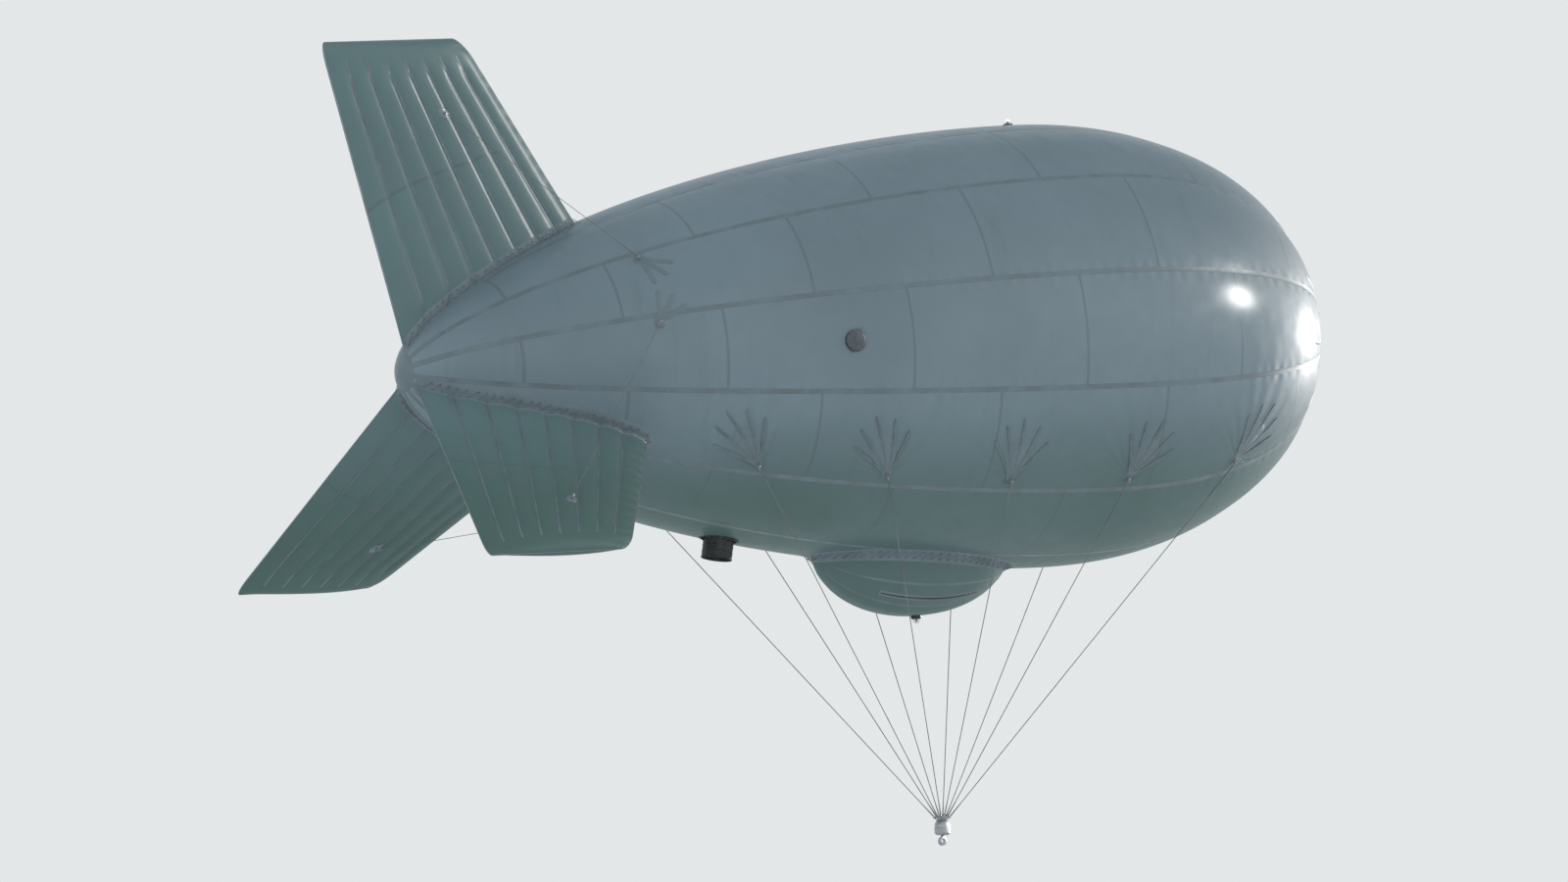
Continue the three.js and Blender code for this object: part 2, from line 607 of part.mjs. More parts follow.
const LINE_RADIUS = 7;
const hubWaist = HUB.height - HUB.radius / 2;
const hubDome = [[0, hubWaist], [HUB.radius, hubWaist], ...domeProfile(HUB.radius + SEAT_GAP)];
const hubCutter = inFrame(solidOf(turned(hubDome, 36)), hull.matrix.clone().invert());

for (const [side, sign] of [["starboard", 1], ["port", -1]]) {
  PATCH_STATIONS.forEach((station, i) => {
    const angle = sign * PATCH_ANGLE;
    const top = hullPoint(station, angle, PATCH.thickness + 0.6 * LUG.height);
    const line = solidOf(rod(HUB_CENTRE, top, LINE_RADIUS));
    const free = line.subtract(hubCutter).subtract(lugSolid(station, angle, SEAT_GAP));
    hull.add(piece(`bridle_${side}_${i + 1}`, free, ROPE));
  });
}

export default balloon;
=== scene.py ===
# A tethered blimp balloon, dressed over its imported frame. Metres, +Z up, nose towards +X.
# The origin is the tether eye, and the hull rides five degrees nose-up above it.
import json
import math
import bmesh
import bpy
from mathutils import Matrix, Vector

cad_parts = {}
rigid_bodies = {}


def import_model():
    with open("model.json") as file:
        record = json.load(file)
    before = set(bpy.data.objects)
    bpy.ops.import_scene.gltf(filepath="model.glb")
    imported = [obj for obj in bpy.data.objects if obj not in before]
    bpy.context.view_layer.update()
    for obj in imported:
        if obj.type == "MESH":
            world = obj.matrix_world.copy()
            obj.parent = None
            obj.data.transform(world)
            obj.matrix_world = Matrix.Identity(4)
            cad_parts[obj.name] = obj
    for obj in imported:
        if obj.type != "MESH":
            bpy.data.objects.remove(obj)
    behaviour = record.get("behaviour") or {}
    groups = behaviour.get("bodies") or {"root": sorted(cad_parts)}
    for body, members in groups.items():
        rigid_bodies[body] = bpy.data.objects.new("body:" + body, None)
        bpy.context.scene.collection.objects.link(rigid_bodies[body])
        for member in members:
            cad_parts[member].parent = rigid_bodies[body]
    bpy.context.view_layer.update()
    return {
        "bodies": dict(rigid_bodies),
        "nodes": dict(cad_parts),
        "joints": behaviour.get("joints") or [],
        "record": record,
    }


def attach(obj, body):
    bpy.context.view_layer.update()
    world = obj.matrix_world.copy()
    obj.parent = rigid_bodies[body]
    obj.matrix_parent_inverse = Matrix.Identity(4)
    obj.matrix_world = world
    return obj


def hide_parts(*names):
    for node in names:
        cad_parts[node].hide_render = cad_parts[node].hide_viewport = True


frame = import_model()
ENVELOPE = "envelope"

# Camera and lamps. The balloon flies above a plain pale floor. The camera stands on the floor off the
# starboard quarter and looks up with a long lens, so the nose points away to the right, as in the
# photograph.
NOSE_TURNED_AWAY = math.radians(30)
CAMERA_DISTANCE = 220.0
FLOOR_HEIGHT = -14.8
CAMERA_HEIGHT = FLOOR_HEIGHT + 0.35
FRAME_WIDTH_SEEN = 25.5
AIMED_AT = Vector((-3.0, 0.0, 6.45))
SENSOR_WIDTH = 36.0
SEEN_AS_FAR_AS = 5000.0
WARM_WHITE = (1.0, 0.98, 0.95)

camera_data = bpy.data.cameras.new("camera")
camera_data.sensor_width = SENSOR_WIDTH
camera_data.lens = SENSOR_WIDTH * CAMERA_DISTANCE / FRAME_WIDTH_SEEN
camera_data.clip_end = SEEN_AS_FAR_AS
camera = bpy.data.objects.new("camera", camera_data)
away = Vector((math.sin(NOSE_TURNED_AWAY), math.cos(NOSE_TURNED_AWAY), 0.0))
camera.location = Vector((AIMED_AT.x, AIMED_AT.y, CAMERA_HEIGHT)) - CAMERA_DISTANCE * away
camera.rotation_euler = (AIMED_AT - camera.location).to_track_quat("-Z", "Y").to_euler()
bpy.context.scene.collection.objects.link(camera)
bpy.context.scene.camera = camera

bpy.context.scene.view_settings.view_transform = "Standard"


def add_sun(name, towards, strength, softness, diffuse=True):
    """A far lamp, which either lights matt surfaces evenly, near and far, or shows in the gloss alone."""
    lamp_data = bpy.data.lights.new(name, "SUN")
    lamp_data.energy = strength
    lamp_data.angle = math.radians(softness)
    lamp_data.color = WARM_WHITE
    lamp = bpy.data.objects.new(name, lamp_data)
    lamp.rotation_euler = Vector(towards).to_track_quat("Z", "Y").to_euler()
    lamp.visible_diffuse = diffuse
    lamp.visible_glossy = not diffuse
    bpy.context.scene.collection.objects.link(lamp)


add_sun("soft light from the far side", (0.45, 0.75, 0.40), 0.9, 25)
add_sun("glint on the nose", (0.925, 0.31, 0.10), 3.0, 9, diffuse=False)
add_sun("small glint above it", (0.854, -0.402, 0.331), 2.2, 9, diffuse=False)


# Shader maths. A Shade is one socket of a material's node tree, and arithmetic on it adds Math nodes.
# Every other node comes from its node method: the type, the settings, then the sockets' values or links.
class Shade:
    def __init__(self, tree, socket=None):
        self.tree = tree
        self.socket = socket

    def node(self, kind, settings=None, inputs=None, output=0):
        made = self.tree.nodes.new(kind)
        for key, value in (settings or {}).items():
            setattr(made, key, value)
        for key, value in (inputs or {}).items():
            if isinstance(value, Shade):
                self.tree.links.new(value.socket, made.inputs[key])
            else:
                made.inputs[key].default_value = value
        return Shade(self.tree, made.outputs[output])

    def place(self):
        """The position on the object."""
        return self.node("ShaderNodeTexCoord", output=3)

    def laid(self):
        """How far along the piece a place is, and which share of the way round it."""
        return self.node("ShaderNodeUVMap", {"uv_map": "along and round"})

    def split(self):
        """The three parts of a vector."""
        parts = self.node("ShaderNodeSeparateXYZ", inputs={0: self}).socket.node.outputs
        return [Shade(self.tree, part) for part in parts]

    def math(self, operation, *values):
        return self.node("ShaderNodeMath", {"operation": operation}, dict(enumerate(values)))

    def mix(self, factor, first, second):
        return self.node("ShaderNodeMix", {"data_type": "RGBA"}, {0: factor, 6: first, 7: second}, 2)

    def noise(self, place, scale, detail=3.0, roughness=0.5):
        inputs = {"Vector": place, "Scale": scale, "Detail": detail, "Roughness": roughness}
        return self.node("ShaderNodeTexNoise", inputs=inputs)

    def stretched(self, place, scale):
        return self.node("ShaderNodeMapping", inputs={"Vector": place, "Scale": scale})

    def range(self, low, high, to_low=0.0, to_high=1.0):
        inputs = {0: self, 1: low, 2: high, 3: to_low, 4: to_high}
        return self.node("ShaderNodeMapRange", {"interpolation_type": "SMOOTHSTEP"}, inputs)

    def __add__(self, other):
        return self.math("ADD", self, other)

    def __sub__(self, other):
        return self.math("SUBTRACT", self, other)

    def __rsub__(self, other):
        return self.math("SUBTRACT", other, self)

    def __mul__(self, other):
        return self.math("MULTIPLY", self, other)

    def __truediv__(self, other):
        return self.math("DIVIDE", self, other)

    def __rtruediv__(self, other):
        return self.math("DIVIDE", other, self)

    __radd__ = __add__
    __rmul__ = __mul__


def new_material(name, **fixed):
    """A material with fixed values on its shader, the shader, and a Shade to start its maths from."""
    made = bpy.data.materials.new(name)
    made.use_nodes = True
    shader = made.node_tree.nodes["Principled BSDF"]
    for key, value in fixed.items():
        shader.inputs[key.replace("_", " ").title()].default_value = value
    return made, shader, Shade(made.node_tree)


def feed(start, shader, colour, roughness=None, height=None, distance=0.01, strength=1.0):
    """Links what changes over the surface into the shader: its colour, roughness and bump height."""
    start.tree.links.new(colour.socket, shader.inputs["Base Color"])
    if roughness is not None:
        start.tree.links.new(roughness.socket, shader.inputs["Roughness"])
    if height is not None:
        depths = {"Height": height, "Distance": distance, "Strength": strength}
        bump = start.node("ShaderNodeBump", inputs=depths)
        start.tree.links.new(bump.socket, shader.inputs["Normal"])


# Air and floor: a pale haze that grows deeper overhead, and a plain matt plane far below the balloon.
PALE_AIR = (0.84, 0.87, 0.88, 1.0)
HIGH_AIR = (0.44, 0.50, 0.545, 1.0)
AIR_STRENGTH = 0.92
PALE_FLOOR = (0.82, 0.828, 0.83, 1.0)
DULL_FLOOR = (0.78, 0.792, 0.795, 1.0)
FLOOR_HALF = 900

world = bpy.data.worlds.new("pale air")
world.use_nodes = True
air = Shade(world.node_tree)
upwards = air.node("ShaderNodeTexCoord").split()[2]
background = world.node_tree.nodes["Background"]
air.tree.links.new(air.mix(upwards.range(0.18, 0.85), PALE_AIR, HIGH_AIR).socket, background.inputs["Color"])
background.inputs["Strength"].default_value = AIR_STRENGTH
bpy.context.scene.world = world

floor_material, floor_shader, floor_start = new_material("pale floor", roughness=0.75)
floor_tone = floor_start.noise(floor_start.place(), 0.05).range(0.3, 0.7)
feed(floor_start, floor_shader, floor_start.mix(floor_tone, DULL_FLOOR, PALE_FLOOR))
floor_mesh = bpy.data.meshes.new("floor")
corners = [(x * FLOOR_HALF, y * FLOOR_HALF, FLOOR_HEIGHT) for x, y in ((-1, -1), (1, -1), (1, 1), (-1, 1))]
floor_mesh.from_pydata(corners, [], [(0, 1, 2, 3)])
floor_mesh.materials.append(floor_material)
floor = bpy.data.objects.new("floor", floor_mesh)
bpy.context.scene.collection.objects.link(floor)

# Envelope: twelve lengthwise gores of coated silver-grey cloth, welded edge to edge and blown tight by the
# gas. The cloth stands a little proud between the seams, and creases fan out above each load patch.
HULL_LENGTH = 17.0
HULL_RADIUS = 3.65
WIDEST_STATION = 0.305 * HULL_LENGTH
STERN_LENGTH = HULL_LENGTH - WIDEST_STATION
NOSE_POWER = 2.15
STERN_ALONG, STERN_ACROSS = 1.8, 0.6
NOSE_X = 6.8
AXIS_HEIGHT = 8.1
NOSE_UP = math.radians(5)
HULL_PLACE = Matrix.Translation((0, 0, AXIS_HEIGHT)) @ Matrix.Rotation(-NOSE_UP, 4, "Y")
HULL_BACK = HULL_PLACE.inverted()
HULL_TURN = HULL_PLACE.to_3x3()
GORES = 12
GORE_ANGLE = 360 / GORES
GORE_COLUMNS = 14
RINGS_AHEAD, RINGS_AFT = 52, 96
END_RING = 0.25
CLOTH_THICKNESS = 0.01
PROUD_BETWEEN_SEAMS = 0.012
SUNK_AT_SEAMS = 0.010
FULL_FROM_RADIUS = 2.0
WELD_SPACING = 3.1
PATCH_STATIONS = (2.9, 5.1, 7.3, 9.5, 11.7)
PATCH_TURN = 131
CREASE_REACH = 3.0
CREASE_FADE = 0.9
HUB_CENTRE = Vector((0, 0, 0.25))
ALUMINISED, ALUMINISED_DULL = (0.250, 0.330, 0.376, 1), (0.208, 0.278, 0.318, 1)
# Stain colour for the rain streaks, also used as the painted shade under the belly
STAIN_AND_BELLY_SHADE = (0.082, 0.160, 0.132, 1)
WELD_GREY = (0.125, 0.150, 0.165, 1)


def hull_radius(station):
    """The hull's radius at so many metres behind its nose."""
    if station < WIDEST_STATION:
        ahead = (WIDEST_STATION - station) / WIDEST_STATION
        return HULL_RADIUS * (1 - ahead ** NOSE_POWER) ** (1 / NOSE_POWER)
    aft = min((station - WIDEST_STATION) / STERN_LENGTH, 1.0)
    return HULL_RADIUS * (1 - aft ** STERN_ALONG) ** STERN_ACROSS


def outwards(turn):
    """The direction away from the hull's axis, at so many degrees from straight up towards starboard."""
    return Vector((0, -math.sin(math.radians(turn)), math.cos(math.radians(turn))))


def skin_normal(station, turn):
    step = min(0.005, 0.2 * station, 0.2 * (HULL_LENGTH - station))
    slope = (hull_radius(station + step) - hull_radius(station - step)) / (2 * step)
    return (outwards(turn) + Vector((slope, 0, 0))).normalized()


def in_hull(station, turn, out=0.0):
    """A point on the skin, or so far out from it, in the hull's own level frame."""
    point = outwards(turn) * hull_radius(station)
    point.x = NOSE_X - station
    return point + skin_normal(station, turn) * out


def on_skin(station, turn, out=0.0):
    return HULL_PLACE @ in_hull(station, turn, out)


def ring_stations():
    """Stations from the nose ring to the tail ring, closer together where the hull curves most."""
    share = END_RING / HULL_RADIUS
    nose_start = math.asin(share ** (NOSE_POWER / 2))
    stern_end = math.acos(share ** (0.5 / STERN_ACROSS))
    made = []
    for i in range(RINGS_AHEAD):
        turn = nose_start + (math.pi / 2 - nose_start) * i / RINGS_AHEAD
        made.append(WIDEST_STATION * (1 - math.cos(turn) ** (2 / NOSE_POWER)))
    for i in range(RINGS_AFT + 1):
        turn = stern_end * i / RINGS_AFT
        made.append(WIDEST_STATION + STERN_LENGTH * math.sin(turn) ** (2 / STERN_ALONG))
    return made


STATIONS = ring_stations()


def cloth_out(station, across):
    """How far the cloth stands out at a share across its gore, -1 and 1 being its two seams."""
    room = min(1.0, hull_radius(station) / FULL_FROM_RADIUS)
    return room * (PROUD_BETWEEN_SEAMS - (PROUD_BETWEEN_SEAMS + SUNK_AT_SEAMS) * across * across)


def across_gore(turn):
    """The share across its gore of a place on the hull, -1 and 1 being the gore's two seams."""
    return (turn / GORE_ANGLE + 0.5) % 1.0 * 2 - 1


def dress(made, replaced=None, body=ENVELOPE):
    """Rides a finished piece on its body, and hides the solid that it replaces."""
    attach(made, body)
    if replaced:
        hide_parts(replaced)
    return made


class Shape:
    """Verts, faces, and a (length, turn) for each face corner, gathered for one piece."""

    def __init__(self):
        self.verts = []
        self.faces = []
        self.corners = []

    def add_face(self, face, corners):
        self.faces.append(tuple(face))
        self.corners.extend(corners)

    def add_rings(self, rings, looped=False):
        """Skins a row of closed rings of points, with flat ends, or round to the first ring again."""
        base, count = len(self.verts), len(rings[0])
        lengths = [0.0]
        for ring, following in zip(rings, rings[1:] + rings[:1]):
            lengths.append(lengths[-1] + (following[0] - ring[0]).length)
        for ring in rings:
            self.verts.extend(ring)
        for i in range(len(rings) if looped else len(rings) - 1):
            row, onward = base + i * count, base + (i + 1) % len(rings) * count
            u, v = lengths[i], lengths[i + 1]
            for j in range(count):
                k = (j + 1) % count
                corners = [(u, j / count), (u, (j + 1) / count), (v, (j + 1) / count), (v, j / count)]
                self.add_face((row + j, row + k, onward + k, onward + j), corners)
        if not looped:
            last = base + (len(rings) - 1) * count
            self.add_face(range(base + count - 1, base - 1, -1), [(0.0, 0.0)] * count)
            self.add_face(range(last, last + count), [(lengths[-2], 0.0)] * count)

    def add_turned(self, profile, place, segments=48):
        """Turns a closed profile of (radius, height) about the Z axis of a place."""
        rings = []
        for i in range(segments):
            turn = 2 * math.pi * i / segments
            rings.append([place @ Vector((r * math.cos(turn), r * math.sin(turn), h)) for r, h in profile])
        self.add_rings(rings, looped=True)

    def add_tube(self, path, radii, sides=10, looped=False):
        """A tube along a path of points, with one radius or a radius at each point."""
        radii = radii if isinstance(radii, (list, tuple)) else [radii] * len(path)
        side = None
        rings = []
        for i, point in enumerate(path):
            before = path[i - 1] if i or looped else point
            after = path[(i + 1) % len(path)] if i + 1 < len(path) or looped else point
            ahead = (after - before).normalized()
            side = ahead.orthogonal() if side is None else side - side.dot(ahead) * ahead
            side.normalize()
            up = ahead.cross(side)
            turns = [2 * math.pi * j / sides for j in range(sides)]
            rings.append([point + radii[i] * (math.cos(t) * side + math.sin(t) * up) for t in turns])
        self.add_rings(rings, looped=looped)

    def add_loop(self, centre, first, second, radius, tube, steps=28, sides=8):
        """A ring of round bar in the plane of two directions."""
        turns = [2 * math.pi * k / steps for k in range(steps)]
        path = [centre + radius * (math.cos(t) * first + math.sin(t) * second) for t in turns]
        self.add_tube(path, tube, sides, looped=True)

    def add_block(self, place, low, high, bevel):
        """A box between two corners in the frame of a place, its upright edges cut off by the bevel."""
        (x0, y0, z0), (x1, y1, z1) = low, high
        outline = [(x0 + bevel, y0), (x1 - bevel, y0), (x1, y0 + bevel), (x1, y1 - bevel),
                   (x1 - bevel, y1), (x0 + bevel, y1), (x0, y1 - bevel), (x0, y0 + bevel)]
        self.add_rings([[place @ Vector((x, y, z)) for x, y in outline] for z in (z0, z1)])

    def add_slab(self, place, outline, half):
        """An upright plate of an (along, up) outline in the frame of a place, so thick to either side."""
        self.add_rings([[place @ Vector((x, y, z)) for x, z in outline] for y in (-half, half)])

    def build(self, name, material, crease_angle=40):
        """Makes the mesh, closes its seams and faces it outwards."""
        mesh = bpy.data.meshes.new(name)
        mesh.from_pydata([tuple(v) for v in self.verts], [], self.faces)
        laid = mesh.uv_layers.new(name="along and round")
        for loop, corner in zip(laid.data, self.corners):
            loop.uv = corner
        work = bmesh.new()
        work.from_mesh(mesh)
        bmesh.ops.remove_doubles(work, verts=work.verts, dist=1e-5)
        bmesh.ops.recalc_face_normals(work, faces=work.faces)
        work.to_mesh(mesh)
        work.free()
        mesh.materials.append(material)
        mesh.polygons.foreach_set("use_smooth", [True] * len(mesh.polygons))
        mesh.set_sharp_from_angle(angle=math.radians(crease_angle))
        made = bpy.data.objects.new(name, mesh)
        bpy.context.scene.collection.objects.link(made)
        return made

    def piece(self, name, material, slot, replaced=None, body=ENVELOPE, crease_angle=40):
        """Builds the mesh and dresses the part's body with it."""
        return dress(self.build(name, material, crease_angle), replaced, body)


def apply_modifiers(piece):
    """Turns the piece, as its modifiers leave it, into a plain mesh."""
    graph = bpy.context.evaluated_depsgraph_get()
    finished = bpy.data.meshes.new_from_object(piece.evaluated_get(graph), depsgraph=graph)
    piece.modifiers.clear()
    piece.data = finished


def patch_frame(station, turn):
    """A load patch's foot, its outward normal, the way up the hull in line with its rope, and across."""
    foot = on_skin(station, turn)
    out = HULL_TURN @ skin_normal(station, turn)
    up_hull = foot - HUB_CENTRE
    up_hull = (up_hull - up_hull.dot(out) * out).normalized()
    return foot, out, up_hull, out.cross(up_hull)


PATCHES = {(side, i + 1): patch_frame(station, turn)
           for side, turn in (("starboard", PATCH_TURN), ("port", -PATCH_TURN))
           for i, station in enumerate(PATCH_STATIONS)}


def ease(value, low, high):
    share = min(max((value - low) / (high - low), 0.0), 1.0)
    return share * share * (3 - 2 * share)


def crease_at(point):
    """How strongly the nearest load patch creases the cloth at a point, and the angle around its foot."""
    nearest, second = sorted(PATCHES.values(), key=lambda patch: (patch[0] - point).length)[:2]
    foot, out, up_hull, across = nearest
    gap = point - foot
    if gap.length > CREASE_REACH:
        return 0.0, 0.0
    along, side = gap.dot(up_hull), gap.dot(across)
    above_foot = ease(along / max(gap.length, 0.01), 0.1, 0.6)
    off_border = ease((second[0] - point).length - gap.length, 0.1, 0.9)
    return above_foot * off_border * math.exp(-gap.length / CREASE_FADE), math.atan2(side, along)


def make_coated_cloth(name, clean, dull, gloss):
    made, shader, start = new_material(name, coat_weight=gloss, coat_roughness=0.20)
    shader.inputs["Specular IOR Level"].default_value = 0.25
    place = start.place()
    along, around, _ = start.laid().split()
    # Crosswise welds, staggered from gore to gore
    gore = start.math("FLOOR", around)
    stagger = start.math("MODULO", gore, 2.0) * 0.5
    weld_phase = start.math("FRACT", along / WELD_SPACING + stagger)
    weld = start.math("ABSOLUTE", weld_phase - 0.5).range(0.004, 0.010, 1.0, 0.0)
    # Cloth tone: broad patches from the coating, fine mottle, and rain streaks that run down the sides
    broad = start.noise(place, 0.22, 4.0, 0.55)
    mottle = start.noise(place, 3.5, 6.0, 0.62)
    streaks = start.noise(start.stretched(place, (2.2, 1.1, 0.16)), 1.6, 5.0, 0.6)
    tone = start.mix(broad.range(0.32, 0.68), clean, dull)
    tone = start.mix(streaks.range(0.54, 0.80) * 0.20, tone, STAIN_AND_BELLY_SHADE)
    tone = start.mix(mottle.range(0.35, 0.75) * 0.16, tone, dull)
    # Painted shade darkens the cloth below the axis towards the belly, and each gore comes from a roll of its
    # own tone
    ahead, _, height = place.split()
    above_axis = height - ahead * math.tan(NOSE_UP) - AXIS_HEIGHT
    belly_shade = above_axis.range(-2.6, -0.8, 1.0, 0.0) * broad.range(0.3, 0.7, 0.8, 1.0)
    tone = start.mix(belly_shade * 0.80, tone, STAIN_AND_BELLY_SHADE)
    per_gore = start.node("ShaderNodeTexWhiteNoise", {"noise_dimensions": "1D"}, {"W": gore + 0.37})
    tone = start.mix(per_gore.range(0.0, 1.0, 0.0, 0.10), tone, dull)
    tone = start.mix(weld * 0.40, tone, WELD_GREY)
    roughness = mottle.range(0.3, 0.7, 0.50, 0.62) - weld * 0.06
    # Height: slack ripples, weld edges, puckers along the seams, and creases fanned out above each load patch
    crease = start.node("ShaderNodeAttribute", {"attribute_name": "crease"}, output=2)
    crease_angle = start.node("ShaderNodeAttribute", {"attribute_name": "crease angle"}, output=2)
    wander = start.noise(place, 0.9, 2.0)
    fan = start.math("SINE", crease_angle * 21.0 + wander * 7.0) * crease
    ripples = start.noise(start.stretched(place, (0.35, 1.0, 1.0)), 1.3, 3.0, 0.5)
    from_middle = start.math("ABSOLUTE", start.math("FRACT", around) - 0.5)
    pucker = start.math("SINE", along * 24.0 + wander * 9.0) * from_middle.range(0.34, 0.49)
    surface = ripples * 0.55 + fan * 1.1 + pucker * 0.30 + mottle * 0.05 + weld * 0.08
    feed(start, shader, tone, roughness, surface, distance=0.022, strength=0.55)
    return made


envelope_cloth = make_coated_cloth("envelope cloth", ALUMINISED, ALUMINISED_DULL, gloss=0.30)


def gore_centre(number):
    centre = GORE_ANGLE * number
    return centre - 360 if centre > 180 else centre


def add_gore(number):
    """One gore as a closed sheet: its outer face, then its inner face, ring by ring."""
    shares = [2 * j / GORE_COLUMNS - 1 for j in range(GORE_COLUMNS + 1)]
    shape = Shape()
    rings = []
    for station in STATIONS:
        turns = [(gore_centre(number) + share * GORE_ANGLE / 2, cloth_out(station, share))
                 for share in shares]
        outer = [on_skin(station, turn, out) for turn, out in turns]
        inner = [on_skin(station, turn, out - CLOTH_THICKNESS) for turn, out in reversed(turns)]
        rings.append(outer + inner)
    shape.add_rings(rings)
    gore = shape.build(f"gore_cloth_{number + 1:02d}", envelope_cloth)
    mesh = gore.data
    crease = mesh.attributes.new("crease", "FLOAT", "POINT")
    angle = mesh.attributes.new("crease angle", "FLOAT", "POINT")
    for i, vertex in enumerate(mesh.vertices):
        crease.data[i].value, angle.data[i].value = crease_at(vertex.co)
    # The share of the way round counts gores, and stops just short of each seam so that none reads the next
    laid = mesh.uv_layers["along and round"].data
    for loop in mesh.loops:
        point = HULL_BACK @ mesh.vertices[loop.vertex_index].co
        turn = math.degrees(math.atan2(-point.y, point.z))
        share = (turn - gore_centre(number) + 180) % 360 - 180
        laid[loop.index].uv = (NOSE_X - point.x, number + 0.5 + 0.99 * share / GORE_ANGLE)
    return gore


def cut_hole(piece, place, radius):
    """Cuts a round hole through a piece, along the Z axis of a place."""
    drill = Shape()
    turns = [2 * math.pi * j / 48 for j in range(48)]
    drill.add_rings([[place @ Vector((radius * math.cos(t), radius * math.sin(t), z)) for t in turns]
                     for z in (-0.3, 0.3)])
    cutter = drill.build("drill", envelope_cloth)
    hole = piece.modifiers.new("hole", "BOOLEAN")
    hole.operation = "DIFFERENCE"
    hole.solver = "EXACT"
    hole.object = cutter
    apply_modifiers(piece)
    bpy.data.objects.remove(cutter)


def seat_on(station, turn, out=0.0):
    """The frame of a fitting on the skin: Z is the outward normal, and X runs aft."""
    normal = skin_normal(station, turn)
    across = normal.cross(Vector((-1, 0, 0))).normalized()
    aft = across.cross(normal)
    seat = Matrix((aft, across, normal)).transposed().to_4x4()
    seat.translation = in_hull(station, turn, out)
    return HULL_PLACE @ seat


def gore_pattern():
    """The width and length that a gore is cut to, and its area laid flat."""
    steps = list(zip(STATIONS, STATIONS[1:]))
    lengths = [math.hypot(after - before, hull_radius(after) - hull_radius(before))
               for before, after in steps]
    widths = [2 * math.pi / GORES * hull_radius((before + after) / 2) for before, after in steps]
    area = sum(length * width for length, width in zip(lengths, widths))
    return (2 * math.pi / GORES * HULL_RADIUS, sum(lengths)), area


VALVE_SEAT = seat_on(10.3, 90)
BLOWER_SEAT = seat_on(11.3, 180)
gores = [add_gore(number) for number in range(GORES)]
cut_hole(gores[3], VALVE_SEAT, 0.125)
cut_hole(gores[6], BLOWER_SEAT, 0.230)
gore_cut, gore_area = gore_pattern()
for number, gore in enumerate(gores):
    dress(gore, f"gore_{number + 1:02d}")

# Seam tapes: a heat-sealed tape over each weld between two gores, from the nose cap to the tail cap. Each
# is a thin strip with its edges pressed into the cloth.
SEAM_TAPE_WIDTH = 0.085
TAPE_PROUD, TAPE_EDGE_SUNK, TAPE_THICK = 0.0035, 0.001, 0.005
TAPE_GREY, TAPE_GREY_DULL = (0.205, 0.268, 0.300, 1), (0.160, 0.208, 0.230, 1)


def make_tape_cloth():
    made, shader, start = new_material("seam tape", roughness=0.42, coat_weight=0.15)
    place = start.place()
    mottle = start.noise(place, 2.4, 5.0, 0.6)
    fine = start.noise(place, 28.0, 3.0, 0.6)
    tone = start.mix(mottle.range(0.3, 0.7), TAPE_GREY, TAPE_GREY_DULL)
    feed(start, shader, tone, mottle.range(0.3, 0.7, 0.36, 0.50), mottle + fine * 0.15, 0.004, 0.35)
    return made


seam_tape = make_tape_cloth()


def tape_ring(points, out_direction, proud=TAPE_PROUD):
    """A thin closed section over a row of points: its upper face there and back under it."""
    lifts = [-TAPE_EDGE_SUNK] + [proud] * (len(points) - 2) + [-TAPE_EDGE_SUNK]
    upper = [point + out_direction * lift for point, lift in zip(points, lifts)]
    lower = [point - out_direction * TAPE_THICK for point in reversed(points)]
    return upper + lower


def add_seam(shape, number):
    seam_turn = gore_centre(number) + GORE_ANGLE / 2
    rings = []
    for station in STATIONS[2:-3]:
        radius = hull_radius(station)
        half = min(SEAM_TAPE_WIDTH / 2, 0.2 * radius)
        turns = [math.degrees(step / radius) for step in (-half, -0.9 * half, 0.0, 0.9 * half, half)]
        base = [on_skin(station, seam_turn + t, cloth_out(station, 1 - 2 * abs(t) / GORE_ANGLE))
                for t in turns]
        rings.append(tape_ring(base, HULL_TURN @ skin_normal(station, seam_turn)))
    shape.add_rings(rings)


seams = Shape()
for number in range(GORES):
    add_seam(seams, number)
seams.piece("seam_tapes", seam_tape, "hull_fabric")

# Nose: a spun and polished aluminium cap, riveted round its rim over a cloth doubler, with tapered cloth
# fingers that spread the mooring load back along the hull, and a forged clevis that carries the mooring
# ring.
CAP_RADIUS = 0.56
CAP_BOSS = 0.095
CAP_OUT, CAP_IN = 0.011, 0.002
BOSS_FRONT = NOSE_X + 0.065
RIVET_ROWS = ((0.525, 48), (0.475, 48), (0.16, 16))
COLLAR_FROM, COLLAR_WIDTH, COLLAR_PROUD = 0.50, 0.42, 0.0085
NOSE_FINGERS = 24
LONG_FINGER, SHORT_FINGER = 2.25, 1.75
BRIGHT, BRIGHT_DULL = (0.80, 0.81, 0.82, 1), (0.60, 0.61, 0.62, 1)
ZINC, ZINC_DULL = (0.50, 0.52, 0.54, 1), (0.30, 0.31, 0.32, 1)
DOUBLER_GREY, DOUBLER_DULL = (0.218, 0.284, 0.320, 1), (0.180, 0.236, 0.262, 1)
AXLE = HULL_PLACE @ Matrix.Rotation(math.pi / 2, 4, "Y")


def nose_station(radius):
    return WIDEST_STATION * (1 - (1 - (radius / HULL_RADIUS) ** NOSE_POWER) ** (1 / NOSE_POWER))


def over_nose(radii, out):
    """A profile over the nose at some radii, so far ahead of the skin."""
    return [(r, NOSE_X - nose_station(r) + out) for r in radii]


